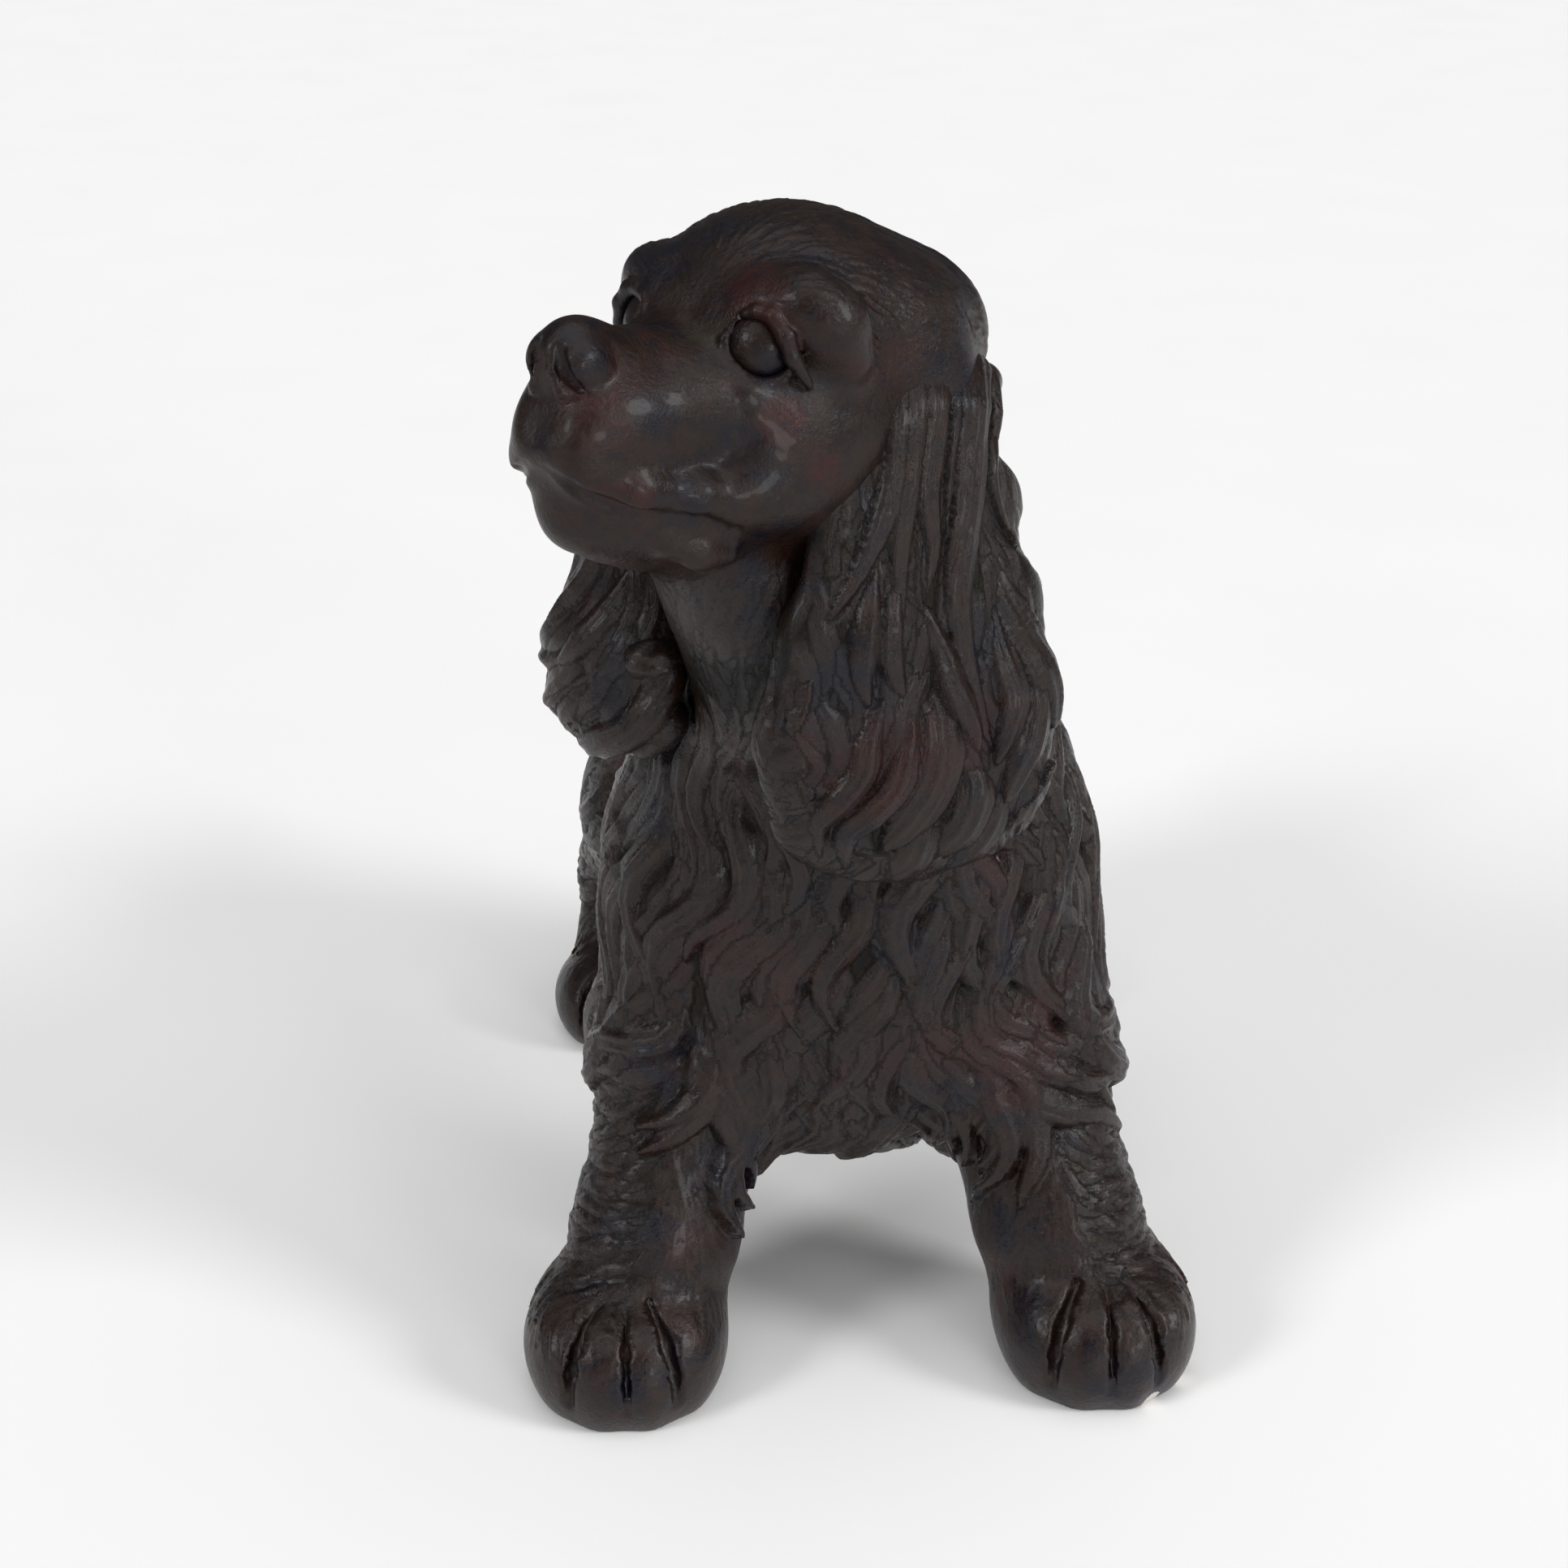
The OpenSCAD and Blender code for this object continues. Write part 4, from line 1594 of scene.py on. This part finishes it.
@dataclass
class Figure:
    """The whole figure: its clay, its coat and its castings.

    Attributes:
        stance: where the parts stand.
        step: the width of a cell of the body's net, before it is refined.
        fine: the same for the head and ears.
    """

    # The glaze paints shade where the relief is low, so DARKEST also caps how dark that painted shade gets.
    DARKEST: ClassVar[float] = 0.4  # lowest relief that the glaze sees, of a lock's height
    DEEPEST: ClassVar[float] = 0.58  # lowest relief of the mesh, so that no pits are left

    stance: Stance
    step: float = 2.4
    fine: float = 1.8
    glaze: bpy.types.Material = field(init=False)
    smooth: bpy.types.Material = field(init=False)

    def __post_init__(self) -> None:
        """Models the clay and makes the finishes."""
        paw = self.stance.paws["fore", LEFT]
        chips = ((paw + [26, -18, 4], 11), (paw + [15, -31, 3], 8), (paw + [34, -6, 3], 7))
        self.glaze = Glaze("glaze_coat", chips=chips).make()
        head = self.stance.head
        patches = (
            (head.at(101, 2, 0), 16, "ink"),
            (head.at(84, 22, -12), 17, "ink"),
            (head.at(70, 24, -34), 20, "ink"),
            (head.at(104, 2, -24), 15, "ink"),
            (head.at(30, 26, 30), 24, "ink"),
            (head.at(48, 38, -10), 17, "oxblood"),
            (head.at(34, 42, -22), 15, "oxblood"),
            (head.at(32, 40, 16), 15, "oxblood"),
            (head.at(60, 14, 10), 12, "olive"),
            (head.at(52, 24, 6), 13, "olive"),
        )
        self.smooth = Glaze("glaze_face", strands=0.22, gloss=0.28, shine=0.25, patches=patches).make()
        self.body = Clay()
        Trunk().model(self.body, self.stance)
        for end in ("fore", "hind"):
            for side in (LEFT, RIGHT):
                Leg(end, side).model(self.body, self.stance)
        Tail().model(self.body, self.stance)
        Neck().model(self.body, self.stance)
        self.whole = Clay()
        self.whole.forms = list(self.body.forms)
        Head().model(self.whole, self.stance)

    def finished(self, clay: Clay, low: Array, high: Array, step: float) -> tuple[Skin, Array]:
        """A net over the clay, refined once and settled on it, with its normals."""
        skin = wrap(clay, np.array(low, float), np.array(high, float), step).refine()
        points, normals = clay.settle(skin.points)
        return Skin(points, skin.faces), normals

    def raised(
        self, skin: Skin, normals: Array, combed: Combed, stand: Array, share: float = 0.6
    ) -> tuple[Skin, Array, dict[str, Array]]:
        """Raises the skin by its relief, less the mean relief, and marks it for the glaze.

        Args:
            skin: the net.
            normals: its normals before.
            combed: the relief.
            stand: how high the locks stand at each vertex.
            share: the share of that height which is taken off all over.

        Returns:
            The raised net, its normals, and the marks.
        """
        combed.rise = np.maximum(combed.rise, self.DARKEST * stand)
        lift = np.maximum(combed.rise, self.DEEPEST * stand) - share * stand
        points = skin.points + normals * lift[:, None]
        points[:, 2] = np.maximum(points[:, 2], 0.4)
        raised = Skin(points.astype(np.float32), skin.faces)
        comb = np.stack([combed.across, combed.along, combed.shade], 1)
        rise = (combed.rise + 0.6) / (stand + 0.6)
        fur = np.clip(stand / 1.2, 0.1, 1)
        return raised, corner_normals(points, skin.faces), {"comb": comb, "rise": rise, "fur": fur}

    def place(
        self, thing: bpy.types.Object, slot: str, *nodes: str
    ) -> None:
        """Hands a piece over: it rides on the root and stands for these CAD nodes."""
        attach(thing, "root")
        if nodes:
            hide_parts(*nodes)

    def build_body(self) -> None:
        """Makes the chest, rump, legs, tail and neck castings."""
        coat = BodyCoat(self.stance)
        skin, normals = self.finished(self.whole, (-150, -222, -6), (150, 232, 440), self.step)
        keep = self.head_side(skin.points[skin.faces].mean(1)) < 2.5
        skin = skin.compact(keep)
        points, normals = self.whole.settle(skin.points, 1)
        skin = Skin(points, skin.faces)
        roots = scatter(points, coat.spacing(points), 3)
        locks = coat.flow().grow(self.whole, roots)
        LOG.info("body: %d vertices, %d locks", len(points), len(roots))
        combed = Coat(groove=0.14).comb(points, locks)
        skin, normals, marks = self.raised(skin, normals, combed, coat.mix(coat.stand, points))
        labels = self.label(skin.points[skin.faces].mean(1))
        nodes = {
            "chest": ("chest_shell",),
            "rump": ("rump_shell",),
            "neck": ("head_shell",),
            "foreleg_l": ("foreleg_left",),
            "foreleg_r": ("foreleg_right",),
            "hindleg_l": ("hindleg_left", "hindleg_left_slip"),
            "hindleg_r": ("hindleg_right", "hindleg_right_slip"),
            "tail_tip": ("tail",),
        }
        for number, (name, names) in enumerate(nodes.items()):
            faces = skin.faces[labels == number]
            used, index = np.unique(faces, return_inverse=True)
            part = Skin(skin.points[used], index.reshape(faces.shape))
            own = {mark: values[used] for mark, values in marks.items()}
            thing = make_piece(name, part, normals[used], own, self.glaze)
            self.place(thing, "glazed_body", *names)

    def head_side(self, points: Array) -> Array:
        """How far a point lies on the head's side of the plane that parts head and neck."""
        skull = self.stance.head
        return (points - skull.at(-20, 0, -46)) @ skull.way(0.25, 0, 0.97)

    def label(self, centres: Array) -> Array:
        """The number of the casting that each face belongs to."""
        x, y, z = centres.T
        labels = np.where(y < self.stance.seam, 0, 1)
        labels[(z > 236) & (y < -20)] = 2
        for number, (end, side) in enumerate(
            (("fore", LEFT), ("fore", RIGHT), ("hind", LEFT), ("hind", RIGHT))
        ):
            paw = self.stance.paws[end, side]
            out = side * x
            slant = z - 0.75 * (out - 60) - (96 if end == "fore" else 112)
            labels[(slant < 0) & (out > 26) & (np.abs(y - paw[1]) < 110)] = 3 + number
        low, high = self.stance.tail
        beyond = (centres - [0, low[1] + 6, low[2] + 18]) @ np.array([0, 0.82, 0.57])
        labels[(beyond > 0) & (np.abs(x) < 30)] = 7
        return labels

    def build_head(self) -> None:
        """Makes the head casting."""
        coat = HeadCoat(self.stance)
        centre = self.stance.head.origin
        low, high = centre - [100, 104, 110], centre + [90, 110, 62]
        skin, normals = self.finished(self.whole, low, high, self.fine)
        skin = skin.compact(self.head_side(skin.points[skin.faces].mean(1)) > 0)
        points, normals = self.whole.settle(skin.points, 1)
        skin = Skin(points, skin.faces)
        roots = scatter(points, coat.spacing(points), 7)
        flow = coat.flow()
        locks = flow.grow(self.whole, roots, 8)
        LOG.info("head: %d vertices, %d locks", len(points), len(roots))
        combed = Coat(cell=7.0, overlap=0.5, groove=0.1).comb(points, locks)
        stand = flow.height(points)
        skin, normals, marks = self.raised(skin, normals, combed, stand, 0.5)
        thing = make_piece("head", skin, normals, marks, self.smooth)
        self.place(thing, "glazed_body", "head_shell")

    def build_ear(self, ear: Ear, name: str, node: str) -> None:
        """Makes one ear."""
        slab = Clay()
        ear.model(slab)
        middle = np.array([form.centre for form in slab.forms])
        low, high = middle.min(0) - 62, middle.max(0) + 62
        clay = Clay()
        head = self.stance.head
        for centre, radii in (((-2, 0, 2), (55, 43, 47)), ((20, ear.side * 28, -18), (33, 19, 25))):
            clay.egg(head.at(*centre), radii, 10, Join.ADD, head.axes)
        ear.model(clay)
        skin, normals = self.finished(clay, low, high, self.fine)
        skin = skin.compact(slab.distance(skin.points[skin.faces].mean(1)) < 11.5)
        points, normals = clay.settle(skin.points, 1)
        skin = Skin(points, skin.faces)
        flow = ear.flow()
        spacing = np.sqrt(0.55 * flow.width(skin.points) * flow.long(skin.points))
        roots = scatter(skin.points, spacing, 13)
        locks = flow.grow(clay, roots)
        if ear.strokes:
            turned = unit(clay.slope(roots)) @ ear.facing()
            locks.height = locks.height * (1 - 0.3 * ramp(turned, 0.0, 0.4))
            locks = Locks.together([locks, ear.laid(clay)])
        combed = Coat(cell=9.0, overlap=0.6, groove=0.13).comb(skin.points, locks)
        smooth_top = ramp(-skin.points[:, 2], -392, -346)
        fade = smooth_top * (1 - ramp(slab.distance(skin.points), 2.0, 9.0))
        combed.rise = combed.rise * fade
        stand = flow.height(skin.points) * fade
        skin, normals, marks = self.raised(skin, normals, combed, stand, 0.6)
        thing = make_piece(name, skin, normals, marks, self.glaze)
        self.place(thing, "glazed_body", node, f"{node}_slip")

    def build_eye(self, side: int) -> None:
        """Makes one blank eye: a ball, slightly drawn out upwards.

        Formula: a sphere on a grid of longitude and latitude, whose poles are closed by one
        vertex each, with its upper half stretched by a tenth.
        """
        across, up = 48, 32
        turn = np.linspace(0, 2 * np.pi, across, endpoint=False)
        tilt = np.linspace(-np.pi / 2, np.pi / 2, up + 1)[1:-1]
        tilt, turn = np.meshgrid(tilt, turn, indexing="ij")
        ball = np.stack([np.cos(tilt) * np.cos(turn), np.cos(tilt) * np.sin(turn), np.sin(tilt)], -1)
        ball = np.concatenate([ball.reshape(-1, 3), [[0, 0, -1], [0, 0, 1]]])
        ball[:, 2] *= np.where(ball[:, 2] > 0, 1.1, 1.0)
        eye = Head().eye_place(self.stance.head, side)
        points = eye.origin + (ball * Head().eye_radius * [0.8, 1, 1]) @ eye.axes.T
        rows = up - 1
        grid = np.arange(rows * across).reshape(rows, across)
        beside = np.roll(grid, -1, axis=1)
        quads = np.stack([grid[:-1], beside[:-1], beside[1:], grid[1:]], -1).reshape(-1, 4)
        low = np.stack([beside[0], grid[0], np.full(across, rows * across)], 1)
        high = np.stack([grid[-1], beside[-1], np.full(across, rows * across + 1)], 1)
        if np.linalg.det(eye.axes) < 0:
            quads, low, high = quads[:, ::-1], low[:, ::-1], high[:, ::-1]
        name = "eye_l" if side == LEFT else "eye_r"
        mesh = bpy.data.meshes.new(name)
        mesh.from_pydata((points * MM).tolist(), [], quads.tolist() + low.tolist() + high.tolist())
        mesh.polygons.foreach_set("use_smooth", np.ones(len(mesh.polygons), bool))
        mesh.attributes.new("rise", "FLOAT", "POINT").data.foreach_set("value", np.full(len(ball), 0.8))
        mesh.materials.append(self.smooth)
        thing = bpy.data.objects.new(name, mesh)
        bpy.context.scene.collection.objects.link(thing)
        LOG.info("%s: %d faces", name, len(mesh.polygons))
        self.place(thing, "glazed_eye", "eyeball_left" if side == LEFT else "eyeball_right")

    def dress_frame(self, nodes: dict[str, bpy.types.Object]) -> None:
        """Gives the CAD nodes that stay their finish: felt on the pads, slip in the joints."""
        felt, slip = Felt().make(), Slip().make()
        for name, thing in nodes.items():
            finish = felt if name.startswith("pad_") else slip
            thing.data.materials.clear()
            thing.data.materials.append(finish)


LEFT_EAR = Ear(
    side=LEFT,
    line=(
        (20, -106, 386, 15, 6, 66),
        (20, -127, 364, 20, 6, 56),
        (23, -137, 350, 29, 9, 52),
        (14, -151, 320, 42, 11, 34),
        (12, -159, 290, 48, 12, 26),
        (11, -163, 258, 51, 13, 20),
        (13, -164, 236, 47, 12, 17),
    ),
    turn=24,
    strokes=(
        (4.8, 3.9, ((10, 394), (6, 372), (4, 352), (1, 334), (-8, 314), (-18, 300))),
        (5.5, 3.2, ((18, 392), (12, 370), (9, 350), (6, 330), (5, 312), (6, 297))),
        (5.5, 3.2, ((24, 392), (19, 370), (16, 350), (14, 334), (16, 318), (14, 305))),
        (5.8, 3.2, ((30, 390), (26, 370), (23, 350), (21, 334), (20, 318))),
        (
            11.2,
            4.5,
            ((33, 388), (31, 368), (29, 348), (27, 326), (24, 304), (26, 286), (31, 266), (36, 252)),
        ),
        (7.3, 4.3, ((38, 372), (38, 352), (36, 334), (40, 320), (45, 310))),
        (5.0, 5.0, ((-2, 324), (-18, 301), (-29, 281), (-33, 268), (-39, 254), (-40, 242), (-36, 233))),
        (5.8, 5.4, ((-11, 311), (-19, 293), (-26, 278), (-26, 265), (-20, 254), (-27, 244), (-32, 231))),
        (
            5.8,
            5.8,
            ((-7, 302), (-12, 284), (-16, 272), (-15, 261), (-11, 252), (-18, 242), (-28, 234), (-27, 222)),
        ),
        (5.5, 5.6, ((3, 282), (-2, 269), (-5, 260), (-7, 251), (-14, 242), (-20, 234), (-19, 222))),
        (6.1, 5.8, ((9, 276), (9, 263), (7, 254), (4, 245), (-4, 237), (-11, 230), (-11, 217))),
        (9.9, 5.0, ((17, 278), (19, 262), (17, 247), (10, 234), (1, 222))),
        (4.8, 5.2, ((-2, 318), (-5, 300), (-7, 284), (-5, 272))),
        (4.8, 5.0, ((5, 312), (2, 298), (2, 286), (6, 274))),
        (5.3, 5.6, ((12, 303), (18, 288), (22, 275), (28, 262), (31, 252))),
        (8.6, 5.2, ((37, 311), (42, 295), (49, 280), (56, 266), (58, 252))),
        (6.3, 5.0, ((36, 300), (39, 282), (43, 268), (41, 256), (37, 246))),
        (7.3, 5.4, ((49, 282), (51, 266), (49, 253), (45, 243), (41, 232))),
        (8.6, 5.0, ((29, 250), (31, 240), (28, 229), (19, 217))),
        (7.3, 4.8, ((60, 262), (61, 248), (56, 236), (46, 226), (36, 217))),
        (6.6, 4.5, ((-33, 238), (-35, 228), (-28, 219), (-16, 214), (-4, 212))),
        (7.9, 4.5, ((16, 236), (14, 226), (10, 216), (4, 209))),
        (7.3, 4.3, ((40, 240), (38, 228), (32, 218), (22, 210))),
    ),
)

RIGHT_EAR = Ear(
    side=RIGHT,
    line=(
        (-52, -94, 384, 14, 8, 49),
        (-62, -92, 358, 16, 9, 49),
        (-70, -94, 322, 17, 9, 49),
        (-76, -101, 295, 20, 10, 46),
        (-84, -108, 265, 26, 11, 42),
        (-84, -112, 250, 27, 11, 40),
    ),
    turn=49,
    strokes=(
        (6.2, 4.8, ((-68, 350), (-68, 330), (-72, 312), (-80, 296))),
        (6.2, 4.8, ((-78, 340), (-79, 320), (-84, 304), (-90, 292))),
        (5.5, 5.2, ((-82, 316), (-86, 300), (-91, 288), (-98, 279), (-103, 273))),
        (6.7, 6.4, ((-66, 318), (-74, 296), (-84, 278), (-97, 266), (-108, 256), (-112, 247))),
        (6.7, 5.9, ((-64, 304), (-72, 284), (-84, 268), (-96, 256), (-104, 246), (-106, 237))),
        (6.7, 6.4, ((-62, 290), (-68, 272), (-80, 256), (-92, 246), (-100, 236), (-98, 228))),
        (6.7, 5.9, ((-60, 276), (-66, 260), (-76, 246), (-86, 238), (-92, 228))),
        (7.3, 5.4, ((-58, 262), (-62, 248), (-70, 238), (-80, 231), (-84, 224))),
        (5.5, 5.2, ((-74, 300), (-82, 284), (-92, 272), (-100, 262))),
    ),
)


# ---------------------------------------------------------------- the studio


@dataclass
class Studio:
    """The floor, the lights and the camera."""

    def floor(self) -> None:
        """Makes the floor, a wide, thin slab just under the felt pads."""
        half, low, high = 6.0, -0.02, 0.0
        ring = [(-half, -half), (half, -half), (half, half), (-half, half)]
        corners = [(x, y, z) for z in (low, high) for x, y in ring]
        sides = [(n, (n + 1) % 4, (n + 1) % 4 + 4, n + 4) for n in range(4)]
        mesh = bpy.data.meshes.new("floor")
        mesh.from_pydata(corners, [], [(3, 2, 1, 0), (4, 5, 6, 7), *sides])
        mesh.materials.append(Paper().make())
        slab = bpy.data.objects.new("floor", mesh)
        bpy.context.scene.collection.objects.link(slab)

    def sun(self, name: str, spot: Sequence[float], spread: float, power: float) -> None:
        """Makes a very broad, soft light that shines from spot towards the figure."""
        light = bpy.data.lights.new(name, "SUN")
        light.angle = np.radians(spread)
        light.energy = power
        thing = bpy.data.objects.new(name, light)
        thing.location = spot
        aim = Vector((0, -0.05, 0.22)) - Vector(spot)
        thing.rotation_euler = aim.to_track_quat("-Z", "Y").to_euler()
        bpy.context.scene.collection.objects.link(thing)

    def light(self) -> None:
        """Makes the lights and a pale surround."""
        self.sun("left_light", (-1.6, -1.0, 1.3), 17, 1.1)
        self.sun("right_light", (1.6, -0.8, 1.2), 17, 1.4)
        self.sun("top_light", (0.1, -0.3, 2.0), 70, 1.4)
        self.sun("front_light", (0.75, -1.5, 0.45), 14, 0.7)
        world = bpy.data.worlds.new("surround")
        bpy.context.scene.world = world
        world.use_nodes = True
        shade = world.node_tree.nodes["Background"]
        shade.inputs["Color"].default_value = (1, 1, 1, 1)
        shade.inputs["Strength"].default_value = 0.10
        bpy.context.scene.view_settings.view_transform = "Standard"

    def camera(self) -> None:
        """Makes the camera, in front, a little to the right of the figure and above it."""
        lens = bpy.data.cameras.new("camera")
        lens.lens = 55
        lens.sensor_width = 36
        lens.clip_start = 0.05
        thing = bpy.data.objects.new("camera", lens)
        heading, pitch = np.radians(-4.0), np.radians(23.5)
        ahead = Vector(
            (
                -np.sin(heading) * np.cos(pitch),
                np.cos(heading) * np.cos(pitch),
                -np.sin(pitch),
            )
        )
        right = Vector((np.cos(heading), np.sin(heading), 0))
        up = right.cross(ahead)
        turn = Matrix((right, up, -ahead)).transposed().to_4x4()
        thing.matrix_world = Matrix.Translation((-0.078, -0.860, 0.543)) @ turn
        bpy.context.scene.collection.objects.link(thing)
        bpy.context.scene.camera = thing


def main() -> None:
    """Builds the figure and the studio."""
    logging.basicConfig(level=logging.INFO, format="%(name)s %(message)s")
    stance = Stance.read()
    figure = Figure(stance)
    figure.dress_frame(frame["nodes"])
    figure.build_body()
    figure.build_head()
    figure.build_ear(LEFT_EAR, "ear_l", "ear_left")
    figure.build_ear(RIGHT_EAR, "ear_r", "ear_right")
    for side in (LEFT, RIGHT):
        figure.build_eye(side)
    studio = Studio()
    studio.floor()
    studio.light()
    studio.camera()
    bpy.context.view_layer.update()


if __name__ == "__main__":
    main()
